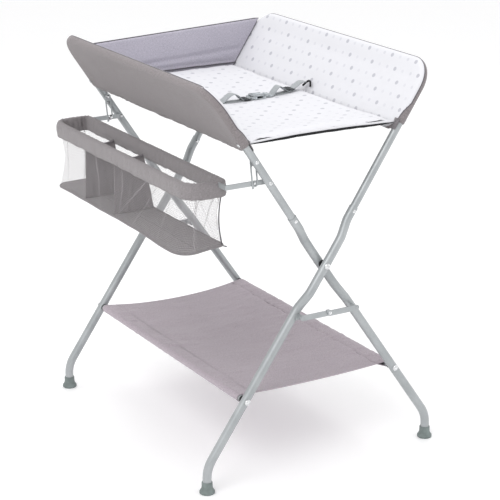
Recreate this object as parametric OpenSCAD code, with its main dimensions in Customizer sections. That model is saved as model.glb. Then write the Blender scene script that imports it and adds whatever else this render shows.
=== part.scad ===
// Folding changing table: two U-shaped tube frames that scissor on a common axis,
// a fabric bed between them, a shelf below and a fold-up mesh basket at the left side.
// X runs from the basket side to the right, Y from the open end to the back panel, Z up.
// The origin is on the floor, below the scissor axis, halfway along the table.

/* [Frame] */
// Distance between the front and back leg centre lines
frame_length = 780; // [760:10:800]
// Height of the scissor axis above the floor
pivot_height = 530; // [525:1:535]
// Half the distance between the left and right feet
foot_x = 325; // [320:1:330]
// Height of the top bars
top_height = 985; // [980:1:990]
// Radius of the top corners of each frame
top_corner_radius = 60; // [50:1:65]
// Outer diameter of the leg tubes
leg_diameter = 22; // [21.8:0.1:22.2]
// Outer diameter of the top tubes that slide into the legs
top_diameter = 19; // [18.8:0.1:19]
// Sideways offset of each leg where the frames cross
crossing_offset = 13; // [13:0.5:14]

/* [Bed] */
// Height of the top surface of the pad
pad_top = 864; // [860:1:868]
// Thickness of the pad
pad_thickness = 12; // [10:1:16]
// Thickness of the padded side panels
panel_thickness = 24; // [23:0.5:25]
// Height of the lower edge of the side panels
panel_bottom = 836; // [832:1:838]
// Height of the upper edge of the back panel
back_panel_top = 980; // [960:1:982]

/* [Shelf] */
// Height of the shelf rods
shelf_height = 218; // [210:1:226]
// Diameter of the shelf rods
rod_diameter = 16; // [14:1:17]

/* [Basket] */
// Height of the basket rim and of its arms
rim_height = 757; // [755:1:759]
// Distance from the centre to the inner side of the rim
rim_inner_x = 243; // [241:1:246]
// Width of the rim
rim_width = 94.5; // [90:0.5:100]
// Height of the basket floor
basket_floor_height = 588; // [570:1:600]

/* [Brace] */
// Height of the brace when it is straight
brace_height = 412; // [410:1:414]
// Width of the brace bars
brace_bar_width = 14; // [12:1:15]

/* [Belt] */
// Width of the webbing
webbing_width = 25; // [22:1:28]

/* [Hidden] */
$fn = 48;

leg_y = frame_length / 2;
leg_r = leg_diameter / 2;
leg_wall = 1.4;
leg_bore = leg_r - leg_wall;
top_r = top_diameter / 2;
top_wall = 1.2;
lower_angle = 34.91;
kink_turn = 1.21;
upper_angle = lower_angle - kink_turn;
jog_turn = asin(0.28);
jog_low = 430;
jog_high = 632;
slip_end = 662;
loop_end = 643;
cap_floor = 6;
ankle_radius = 80;
jog_radius = 40;
ankle_z = pivot_height - foot_x / tan(lower_angle);
kink_z = 560;
kink_x = (kink_z - pivot_height) * tan(lower_angle);
fit_gap = 0.05;
overlap = 1;
bend_step = 0.12;
part_gap = 0.5;
pivot_bolt_r = 4;
small_bolt_r = 3;
rivet_r = 2.5;
rod_r = rod_diameter / 2;
shelf_x = (pivot_height - shelf_height) * tan(lower_angle);
rod_end_y = leg_y - leg_r - 0.3;

// Brace: bars lie outside the legs; the inner bar is on a lug, the outer bar on a post.
bar_t = 2.5;
inner_bar_y = leg_y + 26;
outer_bar_y = inner_bar_y + bar_t + 0.5;
brace_post_x = (pivot_height - brace_height) * tan(lower_angle);
brace_lug_x = brace_post_x - 10.6;
bar_length = (brace_post_x + brace_lug_x) / 2;
brace_mid_x = brace_post_x - bar_length;

// Basket hinge: slotted links on the inner faces of the left loop, arms on the links' inner faces.
arm_t = 3;
arm_height = 12;
link_t = 2;
link_face_y = leg_y - top_r - 0.5;
arm_face_y = link_face_y - link_t - 0.4;
link_pivot_z = 813;
arm_pivot_x = upper_x(rim_height);
link_pivot_x = upper_x(link_pivot_z);
arm_bolt_x = arm_pivot_x + 32;
weld_depth = 0.4;
slot_r = 5;
rim_r = 5;
rim_front_y = -338;
rim_back_y = 394;
rim_outer_x = rim_inner_x + rim_width;
band_drop = 28;
band_t = 1.2;
skirt = rim_r + 0.3;
mesh_t = 1.5;

function upper_x(z) = kink_x + (z - kink_z) * tan(upper_angle);
function lower_x(z) = (z - pivot_height) * tan(lower_angle);
function slope_s(z) = (z - kink_z) / cos(upper_angle);

steel = [0.72, 0.74, 0.75];
bright = [0.85, 0.86, 0.87];
rubber = [0.3, 0.32, 0.32];
grey_cloth = [0.55, 0.52, 0.54];
white_cloth = [0.95, 0.95, 0.97];
shelf_cloth = [0.66, 0.62, 0.66];
mesh_cloth = [0.8, 0.8, 0.82];
dark_plastic = [0.12, 0.12, 0.13];
webbing = [0.68, 0.70, 0.72];

// A round bar that starts at the origin along +Z. Each step is [straight length, bend radius,
// turn, roll]: after its straight the bar turns towards the side that roll points to.
// Bends are bend_step thicker than the straights, which run overlap deep into them; the bar's
// free ends are longer by tail.
module bent_bar(steps, r, tail = 0, i = 0) {
  step = steps[i];
  length = step[0];
  lead_in = i == 0 ? tail : overlap;
  lead_out = len(step) == 1 ? tail : overlap;
  translate([0, 0, -lead_in]) cylinder(r = r, h = length + lead_in + lead_out);
  if (len(step) > 1) {
    bend_r = step[1];
    turn = step[2];
    roll = step[3];
    translate([0, 0, length]) rotate([0, 0, roll]) {
      translate([bend_r, 0, 0]) rotate([90, 0, 180])
        rotate_extrude(angle = turn) translate([bend_r, 0]) circle(r + bend_step);
      if (i + 1 < len(steps))
        translate([bend_r, 0, 0]) rotate([0, turn, 0]) translate([-bend_r, 0, 0])
          rotate([0, 0, -roll]) bent_bar(steps, r, tail, i + 1);
    }
  }
}

// The same bar with a bore, open at both ends.
module bent_tube(steps, r, bore) {
  difference() {
    bent_bar(steps, r);
    bent_bar(steps, bore, overlap);
  }
}

// Length that a bend takes from the straight on each side of it.
function bend_trim(bend_r, turn) = bend_r * tan(turn / 2);
function hundredth(x) = round(x * 100) / 100;

module ring(r, bore) {
  difference() {
    circle(r);
    if (bore > 0) circle(bore);
  }
}

// A cylinder along Y from y1 to y2.
module y_pin(x, z, r, y1, y2) {
  translate([x, y1, z]) rotate([-90, 0, 0]) cylinder(r = r, h = y2 - y1);
}

// A low domed head; its flat side is at y and it stands out along -Y.
module domed_head(x, y, z, r, h) {
  dome_r = (r * r + h * h) / (2 * h);
  translate([x, y, z]) rotate([90, 0, 0]) intersection() {
    cylinder(r = r, h = h);
    translate([0, 0, h - dome_r]) sphere(dome_r);
  }
}

module turned() {
  rotate([0, 0, 180]) children();
}

// ---- Frame ----------------------------------------------------------------

// The leg that leans to the right at its top; it crosses on its -Y side.
jog_run = crossing_offset / tan(jog_turn);
jog_trim = bend_trim(jog_radius, jog_turn);
ankle_trim = bend_trim(ankle_radius, lower_angle);
kink_trim = bend_trim(ankle_radius, kink_turn);
jog_straight = hundredth(crossing_offset / sin(jog_turn) - 2 * jog_trim);

leg_steps = [
  [hundredth(ankle_z - cap_floor - ankle_trim), ankle_radius, lower_angle, 0],
  [hundredth((jog_low - ankle_z) / cos(lower_angle) - ankle_trim - jog_trim), jog_radius, jog_turn, -90],
  [jog_straight, jog_radius, jog_turn, 90],
  [hundredth((kink_z - jog_low) / cos(lower_angle) - jog_run - jog_trim - kink_trim),
   ankle_radius, kink_turn, 180],
  [hundredth((jog_high - kink_z) / cos(upper_angle) - jog_run - jog_trim - kink_trim),
   jog_radius, jog_turn, 90],
  [jog_straight, jog_radius, jog_turn, -90],
  [hundredth((slip_end - jog_high) / cos(upper_angle) - jog_trim)]
];

module leg(y) {
  color(steel) difference() {
    translate([-foot_x, y, cap_floor]) bent_tube(leg_steps, leg_r, leg_bore);
    y_pin(0, pivot_height, pivot_bolt_r + fit_gap, y - 40, y + 40);
    y_pin(-shelf_x, shelf_height, small_bolt_r + fit_gap, y - 20, y + 20);
    if (y > 0) y_pin(-brace_post_x, brace_height, small_bolt_r + fit_gap, y - 20, y + 20);
    y_pin(upper_x(slip_end - 9), slip_end - 9, rivet_r + fit_gap, y - 20, y + 20);
  }
}

loop_side = hundredth((top_height - loop_end) / cos(upper_angle) - top_corner_radius);
loop_steps = [
  [loop_side, top_corner_radius, 90, 90],
  [frame_length - 2 * top_corner_radius, top_corner_radius, 90, 90],
  [loop_side]
];

module at_loop_end() {
  translate([upper_x(loop_end), -leg_y, loop_end]) rotate([0, upper_angle, 0]) children();
}

module top_loop_tube() {
  at_loop_end() bent_tube(loop_steps, top_r, top_r - top_wall);
}

module loop_rivet_holes() {
  y_pin(upper_x(slip_end - 9), slip_end - 9, rivet_r + fit_gap, -leg_y - 20, leg_y + 20);
}

module right_top_loop() {
  color(steel) difference() {
    top_loop_tube();
    loop_rivet_holes();
  }
}

module left_top_loop() {
  color(steel) turned() difference() {
    top_loop_tube();
    loop_rivet_holes();
    y_pin(arm_pivot_x, rim_height, rivet_r + fit_gap, -leg_y - 20, leg_y + 20);
    y_pin(link_pivot_x, link_pivot_z, rivet_r + fit_gap, -leg_y - 20, leg_y + 20);
  }
}

module left_leg_front() { leg(-leg_y); }
module left_leg_back() { leg(leg_y); }
module right_leg_front() { turned() leg(leg_y); }
module right_leg_back() { turned() leg(-leg_y); }

// A bell-shaped rubber cap with a socket for the tube.
module foot_cap(x, y) {
  cap_height = 30;
  color(rubber) translate([x, y, 0]) rotate_extrude() difference() {
    union() {
      polygon([
        [0, 0], [17.5, 0], [19, 1.5], [19, 6], [17, 9], [14.5, 13], [13.6, 18],
        [13.4, cap_height - 1.5], [12.6, cap_height], [0, cap_height]
      ]);
    }
    translate([0, cap_floor - 0.05]) square([leg_r + fit_gap, cap_height]);
  }
}

module left_foot_cap_front() { foot_cap(-foot_x, -leg_y); }
module left_foot_cap_back() { foot_cap(-foot_x, leg_y); }
module right_foot_cap_front() { foot_cap(foot_x, -leg_y); }
module right_foot_cap_back() { foot_cap(foot_x, leg_y); }

// One rivet through each slip joint of a frame that leans right.
module loop_rivets() {
  x = upper_x(slip_end - 9);
  z = slip_end - 9;
  for (side = [-1, 1]) {
    color(bright) translate([0, side * leg_y, 0]) {
      y_pin(x, z, rivet_r, -leg_r - 0.2, leg_r + 0.2);
      domed_head(x, -leg_r - 0.1, z, 4.5, 2);
      mirror([0, 1, 0]) domed_head(x, -leg_r - 0.1, z, 4.5, 2);
    }
  }
}

module right_loop_rivets() { loop_rivets(); }
module left_loop_rivets() { turned() loop_rivets(); }

// Scissor bolts: the head is on the leg that crosses outside, the nut on the one inside.
module pivot_bolt() {
  head_y = -leg_y - crossing_offset - leg_r - 0.2;
  color(bright) {
    y_pin(0, pivot_height, pivot_bolt_r, head_y - 0.1, -leg_y + crossing_offset + leg_r + 9);
    domed_head(0, head_y, pivot_height, 8, 4.5);
  }
}

module pivot_nut() {
  nut_y = -leg_y + crossing_offset + leg_r + 0.1;
  color(bright) translate([0, nut_y, pivot_height]) rotate([-90, 0, 0]) difference() {
    cylinder(r = 7.5, h = 6.5, $fn = 6);
    translate([0, 0, -1]) cylinder(r = pivot_bolt_r + fit_gap, h = 9, $fn = 48);
  }
}

module pivot_spacer() {
  gap = 2 * (crossing_offset - leg_r) - 0.4;
  color(dark_plastic) translate([0, -leg_y - gap / 2, pivot_height]) rotate([-90, 0, 0]) difference() {
    cylinder(r = 10, h = gap);
    translate([0, 0, -1]) cylinder(r = pivot_bolt_r + fit_gap, h = gap + 2);
  }
}

module pivot_bolts() { pivot_bolt(); turned() pivot_bolt(); }
module pivot_nuts() { pivot_nut(); turned() pivot_nut(); }
module pivot_spacers() { pivot_spacer(); turned() pivot_spacer(); }

// ---- Shelf ----------------------------------------------------------------

plug_depth = 26;
plug_collar = 4;

module shelf_rod() {
  length = 2 * (rod_end_y - plug_collar) - 0.2;
  color(steel) translate([-shelf_x, -length / 2, shelf_height]) rotate([-90, 0, 0])
    linear_extrude(length) ring(rod_r, rod_r - 1.2);
}

// Plastic plugs in both ends of the rod, each threaded for its bolt.
module rod_plugs() {
  for (side = [0, 1]) mirror([0, side, 0])
    color(dark_plastic) translate([-shelf_x, -rod_end_y, shelf_height]) rotate([-90, 0, 0])
      difference() {
        union() {
          cylinder(r = rod_r + 0.6, h = plug_collar);
          cylinder(r = rod_r - 1.2 - fit_gap, h = plug_depth);
        }
        translate([0, 0, -1]) cylinder(r = small_bolt_r + fit_gap, h = plug_depth - 3);
      }
}

// Bolts through the legs into the plugs, each with a washer under its head.
module shelf_bolts() {
  washer_t = 1.2;
  for (side = [0, 1]) mirror([0, side, 0]) color(bright) {
    y_pin(-shelf_x, shelf_height, small_bolt_r, -leg_y - leg_r - washer_t, -rod_end_y + 18);
    y_pin(-shelf_x, shelf_height, 7.5, -leg_y - leg_r - 0.1 - washer_t, -leg_y - leg_r - 0.1);
    domed_head(-shelf_x, -leg_y - leg_r - washer_t, shelf_height, 6, 3.5);
  }
}

module left_shelf_rod() { shelf_rod(); }
module right_shelf_rod() { turned() shelf_rod(); }
module left_rod_plugs() { rod_plugs(); }
module right_rod_plugs() { turned() rod_plugs(); }
module left_shelf_bolts() { shelf_bolts(); }
module right_shelf_bolts() { turned() shelf_bolts(); }

// A flat sheet with a sleeve round each rod.
module shelf_fabric() {
  length = 2 * (rod_end_y - plug_collar) - 14;
  sleeve_r = rod_r + 2;
  sheet_t = 3;
  color(shelf_cloth) translate([0, -length / 2, shelf_height]) rotate([-90, 0, 0])
    linear_extrude(length) difference() {
      union() {
        for (side = [-1, 1]) translate([side * shelf_x, 0]) circle(sleeve_r);
        translate([-shelf_x, -sheet_t / 2]) square([2 * shelf_x, sheet_t]);
      }
      for (side = [-1, 1]) translate([side * shelf_x, 0]) circle(rod_r + 0.2);
    }
}

// ---- Brace ----------------------------------------------------------------

// Lug on the leg that crosses outside; the inner bar pivots on its pin.
module brace_lug() {
  color(steel) difference() {
    union() {
      y_pin(-brace_lug_x, brace_height, 6, -inner_bar_y + 0.2, -leg_y - leg_r + 4);
      translate([-brace_lug_x - 12, -leg_y - leg_r - 4, brace_height - 7]) cube([12, 8, 14]);
      y_pin(-brace_lug_x, brace_height, rivet_r, -inner_bar_y - bar_t - 0.1, -inner_bar_y + 1);
    }
    leg_cutter(-leg_y);
  }
  color(bright) domed_head(-brace_lug_x, -inner_bar_y - bar_t - 0.2, brace_height, 4.5, 2.2);
  color(bright) y_pin(-brace_lug_x, brace_height, rivet_r, -inner_bar_y - bar_t - 0.4, -inner_bar_y);
}

// The straight lower stretch of the leg with a little room round it.
module leg_cutter(y) {
  translate([lower_x(ankle_z), y, ankle_z]) rotate([0, lower_angle, 0])
    cylinder(r = leg_r + fit_gap, h = (jog_low - ankle_z) / cos(lower_angle));
}

// Post on the other leg, riveted through the tube; the outer bar pivots on it.
module brace_post() {
  face_y = -leg_y - leg_r - 0.1;
  color(steel) y_pin(brace_post_x, brace_height, 5.5, -outer_bar_y + 0.2, face_y);
  color(steel) y_pin(brace_post_x, brace_height, small_bolt_r, face_y - 0.1, -leg_y + leg_r + 1.5);
  color(bright) y_pin(brace_post_x, brace_height, rivet_r, -outer_bar_y - bar_t - 0.4, -outer_bar_y + 0.3);
  color(bright) domed_head(brace_post_x, -outer_bar_y - bar_t - 0.2, brace_height, 4.5, 2.2);
}

// A flat bar with round ends from x1 to x2; its outer face is at y - bar_t.
module flat_bar(x1, x2, y, pivot_x, hole_r) {
  translate([0, y, brace_height]) rotate([90, 0, 0]) linear_extrude(bar_t) difference() {
    union() {
      translate([x1, -brace_bar_width / 2]) square([x2 - x1, brace_bar_width]);
      for (x = [x1, x2]) translate([x, 0]) circle(brace_bar_width / 2);
    }
    translate([pivot_x, 0]) circle(hole_r);
  }
}

module brace_inner_bar() {
  color(steel) flat_bar(-brace_lug_x, brace_mid_x, -inner_bar_y, -brace_lug_x, rivet_r + fit_gap);
}

// The outer bar ends in a tab that rests on the inner bar and stops it going past straight.
module brace_outer_bar() {
  tab_x = brace_mid_x - brace_bar_width / 2 - 3;
  tab_z = brace_height + brace_bar_width / 2 + 0.4;
  color(steel) {
    flat_bar(brace_mid_x, brace_post_x, -outer_bar_y, brace_post_x, rivet_r + fit_gap);
    translate([tab_x, -outer_bar_y - bar_t, tab_z]) cube([7, 2 * bar_t + 0.5, 2]);
    translate([tab_x, -outer_bar_y - bar_t, tab_z - 5]) cube([8, bar_t, 7]);
  }
}

module brace_mid_rivet() {
  color(bright) domed_head(brace_mid_x, -outer_bar_y - bar_t - 0.05, brace_height, 4.5, 2.2);
}

module front_brace_lug() { brace_lug(); }
module back_brace_lug() { turned() brace_lug(); }
module front_brace_post() { brace_post(); }
module back_brace_post() { turned() brace_post(); }
module front_brace_left_bar() { brace_inner_bar(); }
module back_brace_right_bar() { turned() brace_inner_bar(); }
module front_brace_right_bar() { brace_outer_bar(); }
module back_brace_left_bar() { turned() brace_outer_bar(); }
module front_brace_rivet() { brace_mid_rivet(); }
module back_brace_rivet() { turned() brace_mid_rivet(); }

// ---- Bed ------------------------------------------------------------------

panel_bottom_s = slope_s(panel_bottom);
panel_margin = panel_thickness / 2;
panel_top_s = slope_s(top_height) + panel_margin;
panel_half_length = leg_y + panel_margin;
panel_corner = top_corner_radius + panel_margin;

// Padded panel in the plane of the right loop, with a channel for the tube.
module side_panel(near) {
  height = panel_top_s - panel_bottom_s;
  color(grey_cloth) difference() {
    translate([kink_x, 0, kink_z]) rotate([0, upper_angle, 0])
      translate([-panel_margin, 0, panel_bottom_s]) rotate([90, 0, 90])
        linear_extrude(panel_thickness) panel_outline(height, near);
    at_loop_end() bent_bar(loop_steps, top_r + 0.3);
  }
}

// The lower corner at the open end is cut back, so that the tube comes out there; near is its side.
module panel_outline(height, near) {
  half = panel_half_length;
  rise = 22;
  run = 28;
  translate([near > 0 ? -half : run - half, 0]) square([2 * half - run, height - panel_corner]);
  translate([-half, rise]) square([2 * half, height - panel_corner - rise]);
  translate([-panel_half_length + panel_corner, 0])
    square([2 * (panel_half_length - panel_corner), height]);
  for (side = [-1, 1])
    translate([side * (panel_half_length - panel_corner), height - panel_corner])
      circle(panel_corner);
}

module right_side_panel() { side_panel(-1); }
module left_side_panel() { turned() side_panel(1); }

// Distance from the centre to the inner face of a side panel at height z.
function panel_face_x(z) = upper_x(z) - panel_margin / cos(upper_angle) - part_gap;

// A slab between the side panels from height z1 to z2 and from y1 to y2.
module between_panels(z1, z2, y1, y2, gap) {
  translate([0, y2, 0]) rotate([90, 0, 0]) linear_extrude(y2 - y1) polygon([
    [-panel_face_x(z1) + gap, z1], [panel_face_x(z1) - gap, z1],
    [panel_face_x(z2) - gap, z2], [-panel_face_x(z2) + gap, z2]
  ]);
}

board_t = 6;
back_panel_t = 14;
back_panel_y = leg_y - 12;

module mattress_pad() {
  color(white_cloth)
    between_panels(pad_top - pad_thickness, pad_top, -leg_y, back_panel_y - part_gap, 0);
}

module base_board() {
  top = pad_top - pad_thickness - part_gap;
  color(dark_plastic) between_panels(top - board_t, top, -leg_y + 3, back_panel_y - 3, 3);
}

module back_panel() {
  color(grey_cloth)
    between_panels(pad_top - pad_thickness, back_panel_top, back_panel_y, back_panel_y + back_panel_t, 0.5);
}

// Press studs that close the lower end of each panel sleeve round the tube.
module panel_snap(y) {
  translate([kink_x, 0, kink_z]) rotate([0, upper_angle, 0])
    translate([panel_margin + 0.1, y, panel_bottom_s + 34]) rotate([0, 90, 0]) {
      cylinder(r = 6, h = 1.6);
      cylinder(r = 3.5, h = 2.8);
    }
}

module panel_snaps() {
  for (y = [2 - leg_y, leg_y - 2]) color(bright) panel_snap(y);
}

module panel_snaps_right() { panel_snaps(); }
module panel_snaps_left() { turned() panel_snaps(); }

// ---- Basket ---------------------------------------------------------------

// Flat arm with its pivot and bolt holes; its far end is at end_x.
module arm_bar(y, end_x) {
  translate([0, y + arm_t / 2, rim_height]) rotate([90, 0, 0]) linear_extrude(arm_t) difference() {
    union() {
      translate([end_x, -arm_height / 2]) square([-arm_pivot_x - end_x, arm_height]);
      translate([-arm_pivot_x, 0]) circle(arm_height / 2);
    }
    translate([-arm_pivot_x, 0]) circle(rivet_r + fit_gap);
    translate([-arm_bolt_x, 0]) circle(small_bolt_r + fit_gap);
  }
}

// The front arm passes the basket's end and its bent ear is welded to the rim's short side.
module basket_arm_front() {
  ear_x = -rim_inner_x - rim_inner_bend - arm_t - 3;
  ear_y = -arm_face_y;
  color(steel) {
    arm_bar(ear_y + arm_t / 2, ear_x);
    translate([ear_x, ear_y, rim_height - arm_height / 2])
      cube([arm_t, rim_front_y - rim_r + weld_depth - ear_y, arm_height]);
  }
}

// The back arm is welded to the rim's long side.
module basket_arm_back() {
  color(steel) arm_bar(arm_face_y - arm_t / 2, -rim_inner_x + rim_r - weld_depth);
}

// A hinge rivet through the loop tube; its head is outside, its end on the inside.
module hinge_rivets(x, z, end_y) {
  for (side = [0, 1]) mirror([0, side, 0]) color(bright) {
    y_pin(x, z, rivet_r, -leg_y - top_r - 0.3, -end_y);
    domed_head(x, -leg_y - top_r - 0.2, z, 5, 2.4);
    mirror([0, 1, 0]) domed_head(x, end_y - 0.1, z, 4.5, 1.6);
  }
}

module arm_pivot_rivets() { hinge_rivets(-arm_pivot_x, rim_height, arm_face_y - arm_t - 0.1); }
module link_pivot_rivets() { hinge_rivets(-link_pivot_x, link_pivot_z, link_face_y - link_t - 0.1); }

// Slotted link: it turns on the upper rivet and the arm's bolt runs in its slot.
module basket_link() {
  dx = -arm_bolt_x + link_pivot_x;
  dz = rim_height - link_pivot_z;
  reach = norm([dx, dz]);
  lean = atan2(dx, -dz);
  half_w = 8.5;
  translate([-link_pivot_x, -link_face_y + link_t, link_pivot_z]) rotate([0, -lean, 0])
    rotate([90, 0, 0]) linear_extrude(link_t) difference() {
      union() {
        translate([-half_w, -reach]) square([2 * half_w, reach]);
        circle(half_w);
        translate([0, -reach]) circle(half_w);
        translate([-half_w, -reach - 12]) square([5, 14]);
      }
      circle(rivet_r + fit_gap);
      translate([-slot_r - 0.2, -reach]) square([2 * (slot_r + 0.2), reach - 16]);
      translate([0, -reach]) circle(slot_r + 0.2);
      translate([0, -16]) circle(slot_r + 0.2);
    }
}

module basket_link_front() { color(steel) basket_link(); }
module basket_link_back() { color(steel) mirror([0, 1, 0]) basket_link(); }

// Bolts in the arms' holes that reach through the links' slots; their heads are on the arms.
module arm_bolts() {
  for (side = [0, 1]) mirror([0, side, 0]) color(bright) {
    y_pin(-arm_bolt_x, rim_height, small_bolt_r, -link_face_y + 0.3, -arm_face_y + arm_t + 0.2);
    mirror([0, 1, 0]) domed_head(-arm_bolt_x, arm_face_y - arm_t - 0.1, rim_height, 6.5, 2.5);
  }
}

rim_bend = 34;
rim_inner_bend = 14;
rim_length = rim_back_y - rim_front_y;
rim_steps = [
  [rim_width - rim_inner_bend - rim_bend, rim_inner_bend, 90, 0],
  [rim_length - 2 * rim_inner_bend, rim_inner_bend, 90, 0],
  [rim_width - rim_inner_bend - rim_bend, rim_bend, 90, 0],
  [rim_length - 2 * rim_bend, rim_bend, 90, 0]
];

module basket_rim() {
  color(steel) translate([-rim_outer_x + rim_bend, rim_back_y, rim_height])
    rotate([0, 90, 0]) rotate([0, 0, -90]) bent_bar(rim_steps, rim_r, overlap);
}

// Outline of the basket in plan, grown by g.
module basket_plan(g) {
  r = rim_bend + g;
  ri = rim_inner_bend + g;
  x1 = -rim_outer_x - g;
  x2 = -rim_inner_x + g;
  y1 = rim_front_y - g;
  y2 = rim_back_y + g;
  translate([x1, y1 + r]) square([r, y2 - y1 - 2 * r]);
  translate([x1 + r, y1]) square([x2 - x1 - r - ri, y2 - y1]);
  translate([x2 - ri, y1 + ri]) square([ri, y2 - y1 - 2 * ri]);
  for (y = [y1 + r, y2 - r]) translate([x1 + r, y]) circle(r);
  for (y = [y1 + ri, y2 - ri]) translate([x2 - ri, y]) circle(ri);
}

// Fabric band that hangs over the rim: an outer and an inner skirt.
module basket_band() {
  color(grey_cloth) difference() {
    translate([0, 0, rim_height - band_drop + skirt + band_t]) linear_extrude(band_drop)
      difference() {
        basket_plan(skirt + band_t);
        basket_plan(-skirt - band_t);
      }
    translate([0, 0, rim_height - band_drop + skirt - 1]) linear_extrude(band_drop + 1)
      difference() {
        basket_plan(skirt);
        basket_plan(-skirt);
      }
    slit_z = rim_height - arm_height / 2 - 1;
    translate([-rim_inner_x - rim_inner_bend - arm_t - 4, rim_front_y - rim_r - 4, slit_z])
      cube([arm_t + 2, 4.5, arm_height + 2]);
    translate([-rim_inner_x + rim_r - 0.5, arm_face_y - arm_t - 1, slit_z])
      cube([4.5, arm_t + 2, arm_height + 2]);
  }
}

// Mesh wall all round, from the rim down to the floor.
module basket_mesh() {
  top = rim_height - rim_r - 0.5;
  bottom = basket_floor_height + 4;
  color(mesh_cloth) translate([0, 0, bottom]) linear_extrude(top - bottom) difference() {
    basket_plan(-1);
    basket_plan(-1 - mesh_t);
  }
}

module basket_floor() {
  color(grey_cloth) translate([0, 0, basket_floor_height - 2.5]) linear_extrude(5) basket_plan(-4.5);
}

module basket_floor_wire() {
  color(dark_plastic) translate([0, 0, basket_floor_height - 1.5]) linear_extrude(3) difference() {
    basket_plan(-1);
    basket_plan(-4.2);
  }
}

// Fabric wall across the basket at y.
module basket_divider(y) {
  t = 2;
  gap = skirt + band_t + 0.4;
  color(grey_cloth) translate([-rim_outer_x + gap, y - t / 2, basket_floor_height + 3])
    cube([rim_width - 2 * gap, t, rim_height - rim_r - 6 - basket_floor_height]);
}

module basket_divider_front() { basket_divider(60); }
module basket_divider_back() { basket_divider(225); }

// ---- Belt -----------------------------------------------------------------

belt_y = 10;
belt_gap = 0.3;
web_t = 1.6;
buckle_x = 72;
buckle_w = 34;
socket_length = 42;
tongue_length = 22;

// A flat run of webbing on the pad from x1 to x2 with a low arch between xa and xb.
module strap(x1, x2, arch_x, arch_half, arch_h) {
  z = pad_top + belt_gap;
  r = (arch_half * arch_half + arch_h * arch_h) / (2 * arch_h);
  color(webbing) translate([0, belt_y + webbing_width / 2, 0]) rotate([90, 0, 0])
    linear_extrude(webbing_width) {
      translate([x1, z]) square([arch_x - arch_half - x1, web_t]);
      translate([arch_x + arch_half, z]) square([x2 - arch_x - arch_half, web_t]);
      intersection() {
        translate([arch_x, z + arch_h - r]) ring(r + web_t, r);
        translate([arch_x - arch_half - 0.5, z]) square([2 * arch_half + 1, arch_h + 3]);
      }
    }
}

module belt_strap_left() { strap(-198, buckle_x - socket_length - 0.5, -22, 31, 20); }
module belt_strap_right() { strap(buckle_x + tongue_length + 1.5, 203, buckle_x + 47, 22, 20); }

// A three-bar slider that sits on the webbing.
module belt_slider(x) {
  z = pad_top + belt_gap + web_t + 0.2;
  color(dark_plastic) translate([x, belt_y, z]) difference() {
    translate([-9, -buckle_w / 2, 0]) cube([18, buckle_w, 3]);
    for (sx = [-1, 1]) translate([sx * 4.5 - 2, -webbing_width / 2 - 1, -1]) cube([4, webbing_width + 2, 5]);
  }
}

module belt_slider_left() { belt_slider(buckle_x - socket_length - 11); }
module belt_slider_right() { belt_slider(buckle_x + 79); }

// Socket half of the side-release buckle, open towards the right.
module buckle_socket() {
  z = pad_top + belt_gap;
  color(webbing) translate([buckle_x - socket_length, belt_y, z]) difference() {
    translate([0, -buckle_w / 2, 0]) cube([socket_length, buckle_w, 11]);
    translate([10, -buckle_w / 2 + 3, 2.5]) cube([socket_length, buckle_w - 6, 6]);
    for (side = [-1, 1]) translate([22, side * (buckle_w / 2 - 1.5) - 2.5, 2.5]) cube([12, 5, 6]);
    translate([3, -webbing_width / 2 - 1, -1]) cube([4, webbing_width + 2, 13]);
  }
}

// Tongue half: a centre guide and two side prongs on a webbing bar.
module buckle_tongue() {
  z = pad_top + belt_gap + 3;
  color(webbing) translate([buckle_x + 1, belt_y, z]) difference() {
    union() {
      translate([0, -buckle_w / 2, 0]) cube([tongue_length, buckle_w, 5]);
      translate([-20, -3, 0]) cube([21, 6, 5]);
      for (side = [-1, 1]) translate([-18, side * 11 - 2, 0]) cube([19, 4, 5]);
    }
    for (x = [8, 15]) translate([x, -webbing_width / 2 - 1, -1]) cube([4, webbing_width + 2, 7]);
  }
}

left_top_loop();
right_top_loop();
left_leg_front();
left_leg_back();
right_leg_front();
right_leg_back();
left_foot_cap_front();
left_foot_cap_back();
right_foot_cap_front();
right_foot_cap_back();
left_loop_rivets();
right_loop_rivets();
pivot_bolts();
pivot_nuts();
pivot_spacers();
left_shelf_rod();
right_shelf_rod();
left_rod_plugs();
right_rod_plugs();
left_shelf_bolts();
right_shelf_bolts();
shelf_fabric();
front_brace_lug();
back_brace_lug();
front_brace_post();
back_brace_post();
front_brace_left_bar();
front_brace_right_bar();
back_brace_left_bar();
back_brace_right_bar();
front_brace_rivet();
back_brace_rivet();
left_side_panel();
right_side_panel();
mattress_pad();
base_board();
back_panel();
panel_snaps_left();
panel_snaps_right();
basket_arm_front();
basket_arm_back();
arm_pivot_rivets();
link_pivot_rivets();
basket_link_front();
basket_link_back();
arm_bolts();
basket_rim();
basket_band();
basket_mesh();
basket_floor();
basket_floor_wire();
basket_divider_front();
basket_divider_back();
belt_strap_left();
belt_strap_right();
belt_slider_left();
belt_slider_right();
buckle_socket();
buckle_tongue();
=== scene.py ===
"""Looks of the folding changing table: cloth, net, belt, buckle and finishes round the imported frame.

Metres, +Z up, X across the table (basket at -X), Y along it (open end at -Y).
"""

import math

import bpy
import numpy as np
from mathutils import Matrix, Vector, noise


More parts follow.
